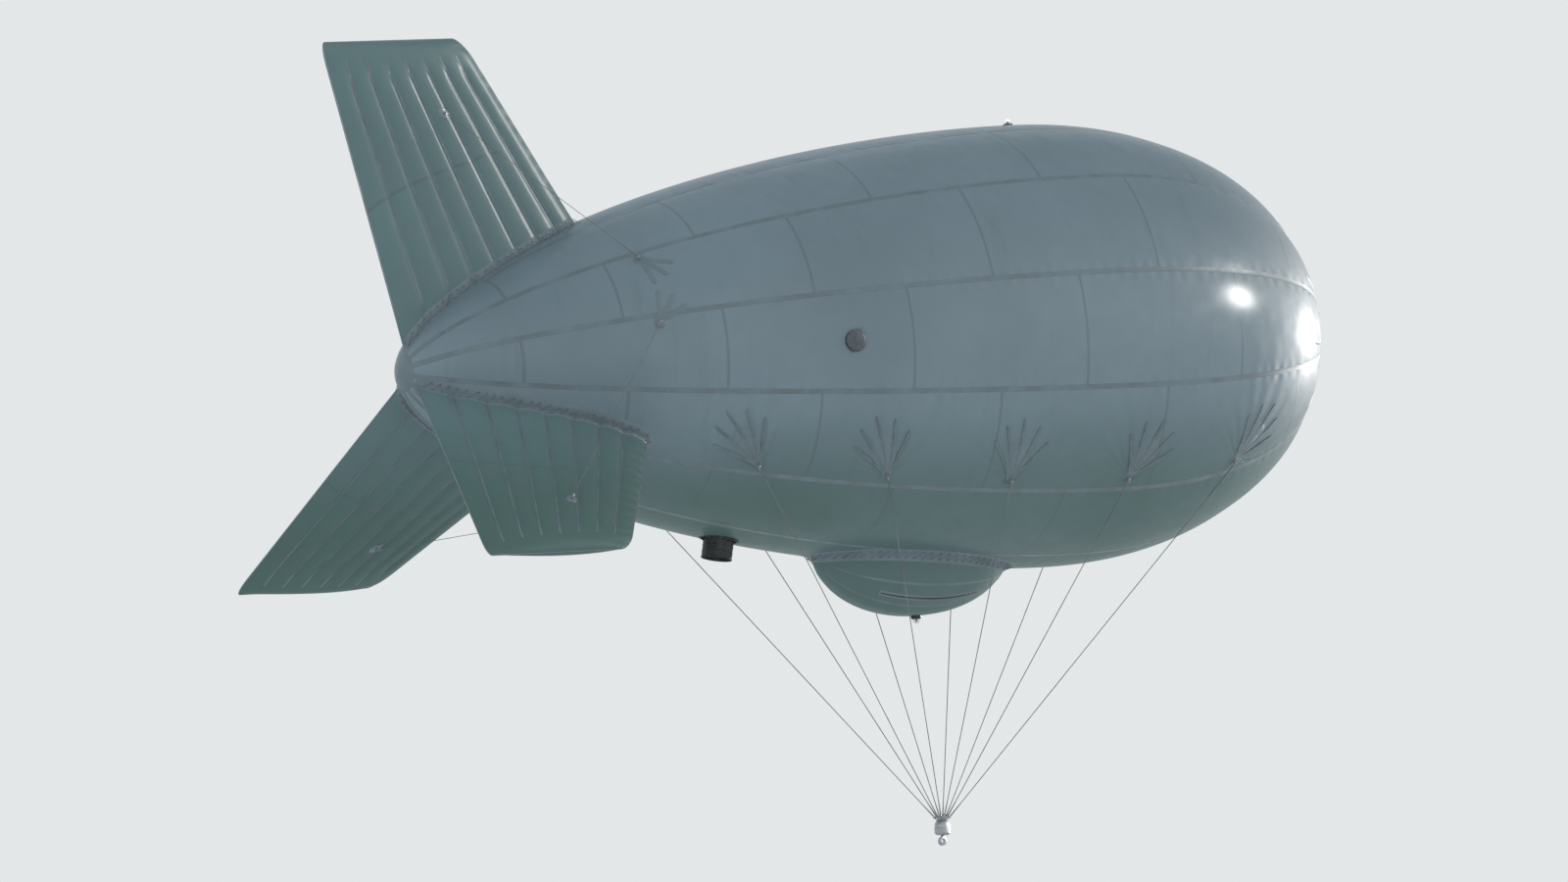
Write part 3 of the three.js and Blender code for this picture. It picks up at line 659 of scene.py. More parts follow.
def make_metal(name, light, dark, rough_low, rough_high, depth, spun=False):
    """Bare metal: crystalline grain as zinc has, or the fine rings round its axis that spinning leaves."""
    made, shader, start = new_material(name, metallic=1.0)
    place = start.place()
    if spun:
        grain = start.noise(start.stretched(start.laid(), (0.0, 160.0, 0.0)), 1.0, 4.0, 0.65)
    else:
        grain = start.noise(place, 60.0, 4.0, 0.65)
    stain = start.noise(place, 3.0, 5.0, 0.6)
    tone = start.mix(stain.range(0.42, 0.75), light, dark)
    roughness = grain.range(0.3, 0.7, rough_low, rough_high) + stain.range(0.5, 0.8, 0.0, 0.12)
    feed(start, shader, tone, roughness, grain, depth, 0.25)
    return made


polished_aluminium = make_metal("polished aluminium", BRIGHT, BRIGHT_DULL, 0.16, 0.30, 0.0004, spun=True)
galvanised_steel = make_metal("galvanised steel", ZINC, ZINC_DULL, 0.34, 0.52, 0.001)

cap = Shape()
rim_steps = [CAP_BOSS + (CAP_RADIUS - CAP_BOSS) * i / 16 for i in range(17)]
outside = over_nose(rim_steps, CAP_OUT)
rim_front = outside[-1][1]
boss = [(0.0, BOSS_FRONT), (CAP_BOSS - 0.008, BOSS_FRONT), (CAP_BOSS, BOSS_FRONT - 0.008),
        (CAP_BOSS, NOSE_X + 0.02)]
rim_bead = [(CAP_RADIUS + 0.010, rim_front + 0.001), (CAP_RADIUS + 0.014, rim_front - 0.010),
            (CAP_RADIUS + 0.006, rim_front - 0.016)]
cap.add_turned(boss + outside + rim_bead + over_nose(rim_steps[::-1], CAP_IN) + [(0.0, NOSE_X)], AXLE, 96)
cap.piece("nose_cap_spun", polished_aluminium, "polished_aluminium", "nose_cap", crease_angle=30)


def scatter(name, frames, form, sizes, material):
    """Sets a small form on each frame by Geometry Nodes: its named sizes, instances realized, one mesh."""
    mesh = bpy.data.meshes.new(name)
    mesh.from_pydata([tuple(f.translation) for f in frames], [], [])
    turned = mesh.attributes.new("turned", "FLOAT_VECTOR", "POINT")
    for i, place in enumerate(frames):
        turned.data[i].vector = place.to_euler()
    made = bpy.data.objects.new(name, mesh)
    bpy.context.scene.collection.objects.link(made)
    tree = bpy.data.node_groups.new(name, "GeometryNodeTree")
    tree.interface.new_socket("Geometry", in_out="OUTPUT", socket_type="NodeSocketGeometry")
    tree.interface.new_socket("Geometry", in_out="INPUT", socket_type="NodeSocketGeometry")
    identifiers = {}
    for label in sizes:
        socket = tree.interface.new_socket(label, in_out="INPUT", socket_type="NodeSocketFloat")
        identifiers[label] = socket.identifier
    start = Shade(tree)
    given = tree.nodes.new("NodeGroupInput")
    points = Shade(tree, given.outputs["Geometry"])
    inputs = {label: Shade(tree, given.outputs[label]) for label in sizes}
    turn = start.node("GeometryNodeInputNamedAttribute", {"data_type": "FLOAT_VECTOR"}, {"Name": "turned"})
    instances = start.node("GeometryNodeInstanceOnPoints", inputs={
        "Points": points, "Instance": form(start, inputs), "Rotation": turn})
    realized = start.node("GeometryNodeRealizeInstances", inputs={"Geometry": instances})
    smooth = start.node("GeometryNodeSetShadeSmooth", inputs={"Geometry": realized})
    painted = start.node("GeometryNodeSetMaterial", inputs={"Geometry": smooth, "Material": material})
    result = tree.nodes.new("NodeGroupOutput")
    tree.links.new(painted.socket, result.inputs["Geometry"])
    nodes = made.modifiers.new("repeat", "NODES")
    nodes.node_group = tree
    for label, value in sizes.items():
        nodes[identifiers[label]] = value
    apply_modifiers(made)
    bpy.data.node_groups.remove(tree)
    return dress(made)


def domed_head(start, sizes):
    shape = {"Segments": 10, "Rings": 6, "Radius": sizes["Radius"]}
    ball = start.node("GeometryNodeMeshUVSphere", inputs=shape)
    return start.node("GeometryNodeTransform", inputs={"Geometry": ball, "Scale": (1.0, 1.0, 0.55)})


rivet_seats = [seat_on(nose_station(r), 360 * (k + 0.5) / count, 0.010) for r, count in RIVET_ROWS
               for k in range(count)]
scatter("nose_cap_rivets", rivet_seats, domed_head, {"Radius": 0.009}, galvanised_steel)


def make_doubler_cloth():
    made, shader, start = new_material("doubler cloth", coat_weight=0.10)
    place = start.place()
    broad = start.noise(place, 1.1, 4.0, 0.6)
    weave = start.noise(place, 45.0, 2.0, 0.7)
    tone = start.mix(broad.range(0.3, 0.7), DOUBLER_GREY, DOUBLER_DULL)
    tone = start.mix(weave.range(0.35, 0.65) * 0.18, tone, (0.14, 0.175, 0.19, 1))
    feed(start, shader, tone, broad.range(0.3, 0.7, 0.46, 0.62), weave * 0.3 + broad, 0.006, 0.4)
    return made


doubler_cloth = make_doubler_cloth()
STRIP_SECTION = (-1, -0.85, 0, 0.85, 1)
FINGER_STEPS = 16
ROUNDED_FROM = 0.85


def add_finger(shape, turn, start_station, end_station, start_half, end_half, proud):
    """A tapered strip of cloth along the hull, rounded off at its far end."""
    rings = []
    for i in range(FINGER_STEPS + 1):
        share = i / FINGER_STEPS
        station = start_station + (end_station - start_station) * share
        half = start_half + (end_half - start_half) * share
        half *= math.sqrt(max(1 - max(share - ROUNDED_FROM, 0) ** 2 / (1 - ROUNDED_FROM) ** 2, 0.02))
        turns = [turn + math.degrees(step * half / hull_radius(station)) for step in STRIP_SECTION]
        base = [on_skin(station, t, cloth_out(station, across_gore(t))) for t in turns]
        rings.append(tape_ring(base, HULL_TURN @ skin_normal(station, turn), proud))
    shape.add_rings(rings)


nose_doubler = Shape()
collar_steps = [COLLAR_FROM + COLLAR_WIDTH * i / 8 for i in range(9)]
collar_out = over_nose(collar_steps[:-1], COLLAR_PROUD) + over_nose(collar_steps[-1:], 0.0)
nose_doubler.add_turned(collar_out + over_nose(collar_steps[::-1], -0.012), AXLE, 96)
for k in range(NOSE_FINGERS):
    reach = nose_station(SHORT_FINGER if k % 2 else LONG_FINGER)
    add_finger(nose_doubler, 360 * (k + 0.5) / NOSE_FINGERS, nose_station(0.80), reach, 0.080, 0.035, 0.0035)
nose_doubler.piece("nose_doubler", doubler_cloth, "hull_fabric")

# Mooring ring and its clevis: a forged plate bolted to the cap's boss, with two ears and a headed pin
# between them, and a ring of round bar that hangs from the pin by its barrel.
CLEVIS_BACK = BOSS_FRONT + 0.0003
CLEVIS_FACE = CLEVIS_BACK + 0.016
PIN_X = CLEVIS_FACE + 0.052
EAR_MIDDLE, EAR_HALF, EAR_RADIUS, EAR_BEVEL = 0.035, 0.007, 0.030, 0.002
CLEVIS_BOLTS_AT = 0.062
PIN_RADIUS, PIN_HEAD, PIN_HALF, PIN_FLAT = 0.012, 0.019, 0.056, 0.044
BARREL_BORE, BARREL_RADIUS, BARREL_HALF = 0.0126, 0.023, 0.027
LOOP_RADIUS, LOOP_DROP, LOOP_BAR = 0.078, 0.125, 0.012

pin_place = HULL_PLACE @ Matrix.Translation((PIN_X, 0, 0)) @ Matrix.Rotation(-math.pi / 2, 4, "X")
clevis = Shape()
clevis.add_turned([(0.0, CLEVIS_BACK), (0.080, CLEVIS_BACK), (0.080, CLEVIS_FACE - 0.004),
                   (0.076, CLEVIS_FACE), (0.0, CLEVIS_FACE)], AXLE, 48)
for middle in (-EAR_MIDDLE, EAR_MIDDLE):
    ear = []
    for step, inset in ((-EAR_HALF, EAR_BEVEL), (-0.005, 0.0), (0.005, 0.0), (EAR_HALF, EAR_BEVEL)):
        radius = EAR_RADIUS - inset
        turns = [math.radians(12 * k - 90) for k in range(16)]
        outline = [(radius * math.cos(a), radius * math.sin(a)) for a in turns]
        outline += [(CLEVIS_FACE - 0.002 - PIN_X, radius), (CLEVIS_FACE - 0.002 - PIN_X, -radius)]
        ear.append([HULL_PLACE @ Vector((PIN_X + x, middle + step, z)) for x, z in outline])
    clevis.add_rings(ear)
clevis.add_turned([(0.0, -PIN_HALF), (0.017, -PIN_HALF), (PIN_HEAD, -0.054), (PIN_HEAD, -PIN_FLAT),
                   (PIN_RADIUS, -0.0438), (PIN_RADIUS, 0.0438), (PIN_HEAD, PIN_FLAT), (PIN_HEAD, 0.054),
                   (0.017, PIN_HALF), (0.0, PIN_HALF)], pin_place, 32)
clevis.piece("nose_clevis_forged", galvanised_steel, "galvanised_steel", "nose_clevis", crease_angle=30)
clevis_seats = []
for corner in (45, 135, 225, 315):
    y = CLEVIS_BOLTS_AT * math.sin(math.radians(corner))
    z = CLEVIS_BOLTS_AT * math.cos(math.radians(corner))
    clevis_seats.append(AXLE @ Matrix.Translation((-z, y, CLEVIS_FACE)))
scatter("nose_clevis_bolts", clevis_seats, domed_head, {"Radius": 0.010}, galvanised_steel)

ring_place = Matrix.Translation(HULL_PLACE @ Vector((PIN_X, 0, 0)))
ring = Shape()
ring.add_turned([(BARREL_BORE, -BARREL_HALF), (0.021, -BARREL_HALF), (BARREL_RADIUS, -0.025),
                 (BARREL_RADIUS, 0.025), (0.021, BARREL_HALF), (BARREL_BORE, BARREL_HALF)],
                ring_place @ Matrix.Rotation(math.pi / 2, 4, "X"), 40)
ring.add_tube([ring_place @ Vector((0, 0, z)) for z in (-0.020, -0.030, -0.040, -0.050)],
              [0.015, 0.012, 0.012, 0.014], 16)
loop_turns = [2 * math.pi * k / 56 for k in range(56)]
loop = [ring_place @ Vector((0, LOOP_RADIUS * math.sin(t), LOOP_RADIUS * math.cos(t) - LOOP_DROP))
        for t in loop_turns]
ring.add_tube(loop, LOOP_BAR, 14, looped=True)
ring.piece("mooring_ring_forged", galvanised_steel, "galvanised_steel", "mooring_ring", body="mooring_ring")

# Tail: a cap of doubler cloth welded over the gores' ends, with shorter fingers of the same cloth that run
# forward along the hull.
TAIL_CAP_RADIUS = 0.32
TAIL_FINGERS = 12


def tail_station(radius):
    share = (radius / HULL_RADIUS) ** (1 / STERN_ACROSS)
    return WIDEST_STATION + STERN_LENGTH * (1 - share) ** (1 / STERN_ALONG)


def over_tail(radii, out):
    """A profile over the tail at some radii, so far behind the skin."""
    return [(r, NOSE_X - tail_station(r) - out) for r in radii]


tail = Shape()
tail_steps = [TAIL_CAP_RADIUS * i / 14 for i in range(15)]
tail_out = over_tail(tail_steps[:-1], 0.012) + over_tail(tail_steps[-1:], 0.001)
tail.add_turned(tail_out + over_tail(tail_steps[::-1], -0.004), AXLE, 72)
for k in range(TAIL_FINGERS):
    turn = 360 * (k + 0.5) / TAIL_FINGERS
    add_finger(tail, turn, tail_station(0.30), tail_station(0.80), 0.045, 0.026, 0.006)
tail.piece("tail_cap_cloth", doubler_cloth, "hull_fabric", "tail_cap")

# Load patches: where each bridle line pulls on the envelope, a drop-shaped cloth patch in two layers is
# welded on, and five webbing straps fan out from it up the hull. At its foot the straps hold a forged
# steel ring.
PATCH_LENGTH = 0.52
PATCH_HEAD = 0.19
PATCH_FOOT = 0.06
STRAP_FAN = ((-34, 0.88), (-17, 1.06), (0, 1.16), (17, 1.06), (34, 0.88))
STRAP_HALF = 0.022
STRAP_STEPS = 18
RING_OUT = 0.054
WEBBING, WEBBING_DULL = (0.205, 0.262, 0.288, 1), (0.155, 0.200, 0.218, 1)
STITCHING = (0.32, 0.36, 0.37, 1)


def turn_of(point):
    return math.degrees(math.atan2(-point.y, point.z))


def station_of(point):
    return min(max(NOSE_X - point.x, 0.02), HULL_LENGTH - 0.02)


def normal_under(point):
    return skin_normal(station_of(point), turn_of(point))


def pressed(point, out=0.0):
    """The point of the cloth, or so far out from it, under or over a point in the hull's own frame."""
    station, turn = station_of(point), turn_of(point)
    return in_hull(station, turn, cloth_out(station, across_gore(turn)) + out)


def add_band(shape, path, halves, proud):
    """A flat strip laid on the hull along a path of points in its own frame, with its half width at each."""
    rings = []
    for i, point in enumerate(path):
        ahead = path[min(i + 1, len(path) - 1)] - path[max(i - 1, 0)]
        out = normal_under(point)
        across = ahead.cross(out).normalized()
        base = [HULL_PLACE @ pressed(point + across * step * halves[i]) for step in STRIP_SECTION]
        rings.append(tape_ring(base, HULL_TURN @ out, proud))
    shape.add_rings(rings)


def rounded_halves(half, steps, far_end, near_end=0.0):
    """Half widths along a strip whose ends are rounded over a share of its length."""
    made = []
    for i in range(steps + 1):
        share = i / steps
        beyond = max((share - 1 + far_end) / far_end, 0.0)
        before = max((near_end - share) / near_end, 0.0) if near_end else 0.0
        made.append(half * math.sqrt(max(1 - beyond ** 2 - before ** 2, 0.03)))
    return made


def make_webbing():
    made, shader, start = new_material("woven webbing")
    along, across, _ = start.laid().split()
    weave = start.math("SINE", along * 900.0) * start.math("SINE", across * 160.0)
    stitch = start.math("ABSOLUTE", start.math("FRACT", across * 5.0) - 0.5).range(0.02, 0.06, 1.0, 0.0)
    dash = start.math("FRACT", along * 110.0).range(0.30, 0.40) * stitch
    dirt = start.noise(start.place(), 5.0, 5.0, 0.6)
    tone = start.mix(dirt.range(0.35, 0.7), WEBBING, WEBBING_DULL)
    tone = start.mix(dash * 0.5, tone, STITCHING)
    feed(start, shader, tone, dirt.range(0.3, 0.7, 0.62, 0.80), weave + dash * 0.8, 0.0012, 0.6)
    return made


webbing = make_webbing()


def drop_half(reach):
    """Half the width of a load patch, so far up the hull from its foot."""
    if reach < 0:
        return math.sqrt(max(PATCH_FOOT ** 2 - reach ** 2, 0.0))
    if reach < PATCH_LENGTH:
        return PATCH_FOOT + (PATCH_HEAD - PATCH_FOOT) * math.sin(math.pi / 2 * reach / PATCH_LENGTH)
    return math.sqrt(max(PATCH_HEAD ** 2 - (reach - PATCH_LENGTH) ** 2, 0.0))


def add_drop(shape, foot, up_hull, size, proud):
    """One layer of a load patch, laid on the hull."""
    low, high = -PATCH_FOOT * 0.97, (PATCH_LENGTH + PATCH_HEAD) * 0.995
    reaches = [low + (high - low) * (1 - math.cos(math.pi * i / 26)) / 2 for i in range(27)]
    path = [foot + up_hull * reach * size for reach in reaches]
    add_band(shape, path, [max(drop_half(reach) * size, 0.004) for reach in reaches], proud)


patch_layers = Shape()
patch_straps = Shape()
patch_rings = Shape()
for foot, *directions in PATCHES.values():
    foot = HULL_BACK @ foot
    out, up_hull, across = (HULL_TURN.transposed() @ direction for direction in directions)
    add_drop(patch_layers, foot, up_hull, 1.10, 0.005)
    add_drop(patch_layers, foot, up_hull, 0.84, 0.009)
    for fan, length in STRAP_FAN:
        towards = up_hull * math.cos(math.radians(fan)) + across * math.sin(math.radians(fan))
        path = [foot + towards * length * i / STRAP_STEPS for i in range(STRAP_STEPS + 1)]
        add_band(patch_straps, path, rounded_halves(STRAP_HALF, STRAP_STEPS, far_end=0.03), 0.013)
    tab = HULL_PLACE @ Matrix((up_hull, across, out)).transposed().to_4x4()
    tab.translation = HULL_PLACE @ foot
    patch_straps.add_block(tab, (-0.050, -0.024, 0.004), (0.045, 0.024, 0.020), 0.006)
    patch_straps.add_block(tab, (-0.016, -0.022, 0.016), (0.016, 0.022, 0.036), 0.005)
    ring_centre = HULL_PLACE @ (foot + out * RING_OUT)
    patch_rings.add_loop(ring_centre, HULL_TURN @ out, HULL_TURN @ across, 0.027, 0.0055)
patch_layers.piece("load_patches", doubler_cloth, "hull_fabric")
patch_straps.piece("load_straps", webbing, "rope")
patch_rings.piece("load_rings", galvanised_steel, "galvanised_steel")

# Fins: three air-filled socks in an inverted Y, of the same coated cloth as the envelope. Webs inside run
# from root to tip and draw the skin into eight lobes, and a welt of cord stiffens the edges. A laced skirt
# joins each to the hull.
FIN_TURNS = {"fin_top": 0, "fin_starboard": 127, "fin_port": -127}
FIN_INNER = {"span": 0.34, "nose": 12.37, "tail": 16.85, "thickness": 0.56}
FIN_OUTER = {"span": 5.36, "nose": 15.40, "tail": 17.98, "thickness": 0.33}
FIN_SPAN = FIN_OUTER["span"] - FIN_INNER["span"]
FIN_LOBES = 8
LOBE_STEPS = 8
WEB_DEPTH = 0.042
WEB_TAPE_HALF = 0.020
TIP_FROM = 0.955
CORNER_FROM = 0.93
CORNER_NOSE, CORNER_TAIL = 0.17, 0.08
SPAN_STEPS, TIP_STEPS, EDGE_STEPS = 36, 8, 20
WELT_RADIUS = 0.011
SKIRT_ON_HULL, SKIRT_UP_WALL = 0.17, 0.13
EYELET_GAP = 0.15
EYELET_ON_HULL, EYELET_UP_WALL = 0.105, 0.088
EYELET_SIZES = {"Radius": 0.011, "Wire": 0.003}
LACE_RADIUS = 0.004
FIN_GREEN, FIN_GREEN_DULL = (0.174, 0.276, 0.282, 1), (0.147, 0.234, 0.238, 1)


def fin_size(key, share):
    return FIN_INNER[key] + (FIN_OUTER[key] - FIN_INNER[key]) * share


def fin_chord(share):
    return fin_size("tail", share) - fin_size("nose", share)


def fin_half(share, chord):
    """Half the thickness at a share of the span and of the chord: a lens, drawn in along the webs."""
    lens = max(math.sin(math.pi * chord ** 0.8), 0.0) ** 0.7
    tip = math.sqrt(max(1 - (max(share - TIP_FROM, 0) / (1 - TIP_FROM)) ** 2, 0.0))
    lobe = abs(math.sin(math.pi * FIN_LOBES * chord)) ** 0.62
    fade = ease(share, 0.95, 0.86) * ease(chord, 0.0, 0.1) * ease(chord, 1.0, 0.93)
    return (fin_size("thickness", share) / 2 * lens - WEB_DEPTH * (1 - lobe) * fade) * tip


def fin_point(turn, share, chord, side):
    """A point on the fin's skin in the hull's frame; side 1 faces larger turns, and -1 the other way."""
    beyond = max(share - CORNER_FROM, 0.0) / (1 - CORNER_FROM)
    corner = 1 - math.sqrt(max(1 - beyond ** 2, 0.0))
    nose = fin_size("nose", share) + CORNER_NOSE * corner
    tail = fin_size("tail", share) - CORNER_TAIL * corner
    point = outwards(turn) * fin_size("span", share) + outwards(turn + 90) * side * fin_half(share, chord)
    point.x = NOSE_X - (nose + (tail - nose) * chord)
    return point


def below_skin(point):
    """How far a point in the hull's frame is outside the hull, and less than nothing inside it."""
    return math.hypot(point.y, point.z) - hull_radius(NOSE_X - point.x)


def last_true(test, low, high):
    """The last place between two at which a test still holds, by halving."""
    for _ in range(26):
        middle = (low + high) / 2
        low, high = (middle, high) if test(middle) else (low, middle)
    return low


def root_share(turn, chord, side):
    """The share of the span at which the fin's skin comes out of the hull."""
    return last_true(lambda share: below_skin(fin_point(turn, share, chord, side)) < 0, 0.0, 0.7)


def fin_columns():
    """The chord shares round a section: near side from the leading edge, then back along the far side."""
    steps = FIN_LOBES * LOBE_STEPS
    chords = [0.0, 0.003, 0.008] + [i / steps for i in range(1, steps)] + [0.994, 1.0]
    return [(chord, 1) for chord in chords] + [(chord, -1) for chord in reversed(chords[1:-1])]


def fin_shares(root):
    """Shares of the span from the root to the tip, closer together round the tip."""
    along = [root + (TIP_FROM - root) * i / SPAN_STEPS for i in range(SPAN_STEPS + 1)]
    tip = [TIP_FROM + (1 - TIP_FROM) * math.sin(math.pi / 2 * k / TIP_STEPS) for k in range(1, TIP_STEPS + 1)]
    return along + tip


def evened(loop, reach):
    """A closed loop with each point moved to the middle of its neighbours, so many to either side."""
    near = range(-reach, reach + 1)
    return [sum((loop[(i + k) % len(loop)] for k in near), Vector()) / len(near) for i in range(len(loop))]


def add_skirt(shape, loop, following, reach=0):
    """A cloth skirt round the foot of a wall on the hull: to an even edge, and a little way up the wall."""
    edge_loop = evened(loop, reach)
    centre = sum(loop, Vector()) / len(loop)
    outs = [normal_under(foot) for foot in loop]
    aheads = [edge_loop[(i + 1) % len(loop)] - edge_loop[i - 1] for i in range(len(loop))]
    aways = [ahead.cross(out).normalized() for ahead, out in zip(aheads, outs)]
    if sum(away.dot(foot - centre) for away, foot in zip(aways, loop)) < 0:
        aways = [-away for away in aways]
    rings, frames = [], []
    for foot, edge, out, away, onward in zip(loop, edge_loop, outs, aways, following):
        up = (onward - foot).normalized()
        wall_out = (away - away.dot(up) * up).normalized()
        border, near_border = edge + away * SKIRT_ON_HULL, edge + away * SKIRT_ON_HULL * 0.95
        top, near_top = foot + up * SKIRT_UP_WALL, foot + up * SKIRT_UP_WALL * 0.95
        ring = [pressed(border, 0.0005), pressed(near_border, 0.0045), pressed(foot + away * 0.040, 0.0055),
                foot + away * 0.016 + out * 0.014, foot + wall_out * 0.008 + up * 0.040,
                near_top + wall_out * 0.006, top + wall_out * 0.001, near_top - wall_out * 0.006,
                pressed(foot, -0.008), pressed(near_border, -0.005)]
        rings.append([HULL_PLACE @ point for point in ring])
        frames.append((edge, foot, out, away, up, wall_out))
    shape.add_rings(rings, looped=True)
    return frames


def spaced(frames, gap):
    """Every frame of a closed loop that lies another gap further along it."""
    kept, walked = [frames[0]], 0.0
    for before, frame in zip(frames, frames[1:]):
        walked += (frame[0] - before[0]).length
        if walked >= gap:
            kept.append(frame)
            walked -= gap
    return kept


def eyelet_form(start, sizes):
    circle = "GeometryNodeCurvePrimitiveCircle"
    ring = start.node(circle, inputs={"Resolution": 12, "Radius": sizes["Radius"]})
    wire = start.node(circle, inputs={"Resolution": 6, "Radius": sizes["Wire"]})
    return start.node("GeometryNodeCurveToMesh", inputs={"Curve": ring, "Profile Curve": wire})


def facing(point, out, ahead):
    """The frame of a small fitting at a point in the hull's frame, its Z outwards."""
    across = out.cross(ahead).normalized()
    place = Matrix((across.cross(out), across, out)).transposed().to_4x4()
    place.translation = point
    return HULL_PLACE @ place


def add_lacing(laces, eyelets, frames):
    """Eyelets along both edges of a skirt, and a cord laced to and fro between them."""
    path = []
    for edge, foot, out, away, up, wall_out in spaced(frames, EYELET_GAP):
        on_hull = pressed(edge + away * EYELET_ON_HULL, 0.006)
        on_wall = foot + up * EYELET_UP_WALL + wall_out * 0.009
        eyelets.append(facing(on_hull, out, up))
        eyelets.append(facing(on_wall, wall_out, out))
        path += [on_hull + out * LACE_RADIUS, on_wall + wall_out * LACE_RADIUS]
    laces.add_tube([HULL_PLACE @ point for point in path], LACE_RADIUS, 6, looped=True)


def add_web_tape(shape, turn, web, side):
    """The tape over one web of a fin, from just above the root to the tip."""
    root = root_share(turn, web / FIN_LOBES, side)
    rings = []
    for i in range(SPAN_STEPS + 1):
        share = root + 0.01 + (0.945 - root - 0.01) * i / SPAN_STEPS
        half = WEB_TAPE_HALF / fin_chord(share)
        chords = [web / FIN_LOBES + step * half for step in (-1, -0.8, 0, 0.8, 1)]
        base = [HULL_PLACE @ fin_point(turn, share, chord, side) for chord in chords]
        rings.append(tape_ring(base, HULL_TURN @ outwards(turn + 90) * side, 0.003))
    shape.add_rings(rings)


def add_welt(shape, turn):
    """The cord in the fin's edge, up the front, along the tip and down the back."""
    edge = [fin_point(turn, share, 0.0, 1) for share in fin_shares(root_share(turn, 0.0, 1))]
    edge += [fin_point(turn, 1.0, i / EDGE_STEPS, 1) for i in range(1, EDGE_STEPS)]
    edge += [fin_point(turn, share, 1.0, 1) for share in reversed(fin_shares(root_share(turn, 1.0, 1)))]
    shape.add_tube([HULL_PLACE @ point for point in edge], WELT_RADIUS, 8)


fin_cloth = make_coated_cloth("fin cloth", FIN_GREEN, FIN_GREEN_DULL, gloss=0.10)
fin_skirts = Shape()
fin_laces = Shape()
fin_eyelets = []
fin_seams = Shape()
fin_welts = Shape()
for name, turn in FIN_TURNS.items():
    columns = [(chord, side, fin_shares(root_share(turn, chord, side))) for chord, side in fin_columns()]
    grid = [[fin_point(turn, share, chord, side) for share in shares] for chord, side, shares in columns]
    skin = Shape()
    skin.add_rings([[HULL_PLACE @ column[i] for column in grid] for i in range(len(grid[0]))])
    fin = skin.piece(f"{name}_cloth", fin_cloth, "fin_fabric", name, crease_angle=60)
    feet, onwards = [column[0] for column in grid], [column[1] for column in grid]
    add_lacing(fin_laces, fin_eyelets, add_skirt(fin_skirts, feet, onwards, LOBE_STEPS // 2))
    for side in (1, -1):
        for web in range(1, FIN_LOBES):
            add_web_tape(fin_seams, turn, web, side)
    add_welt(fin_welts, turn)
fin_skirts.piece("fin_skirts", doubler_cloth, "fin_fabric")
fin_seams.piece("fin_seam_tapes", seam_tape, "fin_fabric")
fin_welts.piece("fin_edge_welts", seam_tape, "fin_fabric")
scatter("fin_eyelets", fin_eyelets, eyelet_form, EYELET_SIZES, galvanised_steel)

# Bridle lines: braided synthetic rope, taut under the balloon's lift. Each end is spliced round a steel
# thimble, so the rope is thicker there, and a shackle holds the thimble to its ring.
BRIDLE_RADIUS = 0.007
GUY_RADIUS = 0.005
SPLICE_LENGTH = 0.28
SPLICE_BACK, SPLICE_FROM_HUB = 0.075, 0.135
SPLICE_SWELL = (1.5, 1.55, 1.3, 1.0)
THIMBLE = 0.020
SHACKLE_BAR, SHACKLE_HALF, SHACKLE_DROP = 0.0045, 0.019, 0.004
STRANDS = 4
# The third rope colour is painted shade for the grooves of the braid
ROPE_GREY, ROPE_DULL, ROPE_GROOVE_SHADE = (0.30, 0.31, 0.30, 1), (0.17, 0.175, 0.165, 1), (0.07, 0.07, 0.065, 1)


def make_rope():
    made, shader, start = new_material("braided rope")
    along, around, _ = start.laid().split()
    left = start.math("SINE", along * 180.0 + around * (2 * math.pi * STRANDS))
    right = start.math("SINE", along * 180.0 - around * (2 * math.pi * STRANDS))
    braid = start.math("MAXIMUM", left, right)
    dirt = start.noise(start.place(), 2.2, 5.0, 0.6)
    tone = start.mix(dirt.range(0.35, 0.7), ROPE_GREY, ROPE_DULL)
    # Painted shade darkens the grooves between the braid's strands
    tone = start.mix(braid.range(-0.2, 0.5, 0.45, 0.0), tone, ROPE_GROOVE_SHADE)
    feed(start, shader, tone, dirt.range(0.3, 0.7, 0.75, 0.92), braid, 0.002, 0.7)
    return made


braided_rope = make_rope()


def add_shackle(metal, centre, inward, side):
    """A bow round a thimble's eye, and the pin with its head that closes it."""
    up = inward.cross(side)
    turns = [math.pi * k / 12 for k in range(13)]
    pin = centre + inward * SHACKLE_DROP
    bow = [pin - inward * 0.030 * math.sin(a) + up * SHACKLE_HALF * math.cos(a) for a in turns]
    metal.add_tube(bow, SHACKLE_BAR, 8)
    metal.add_tube([pin + up * w for w in (-0.027, 0.027)], 0.0042, 8)
    metal.add_tube([pin + up * w for w in (0.017, 0.025)], 0.0075, 6)


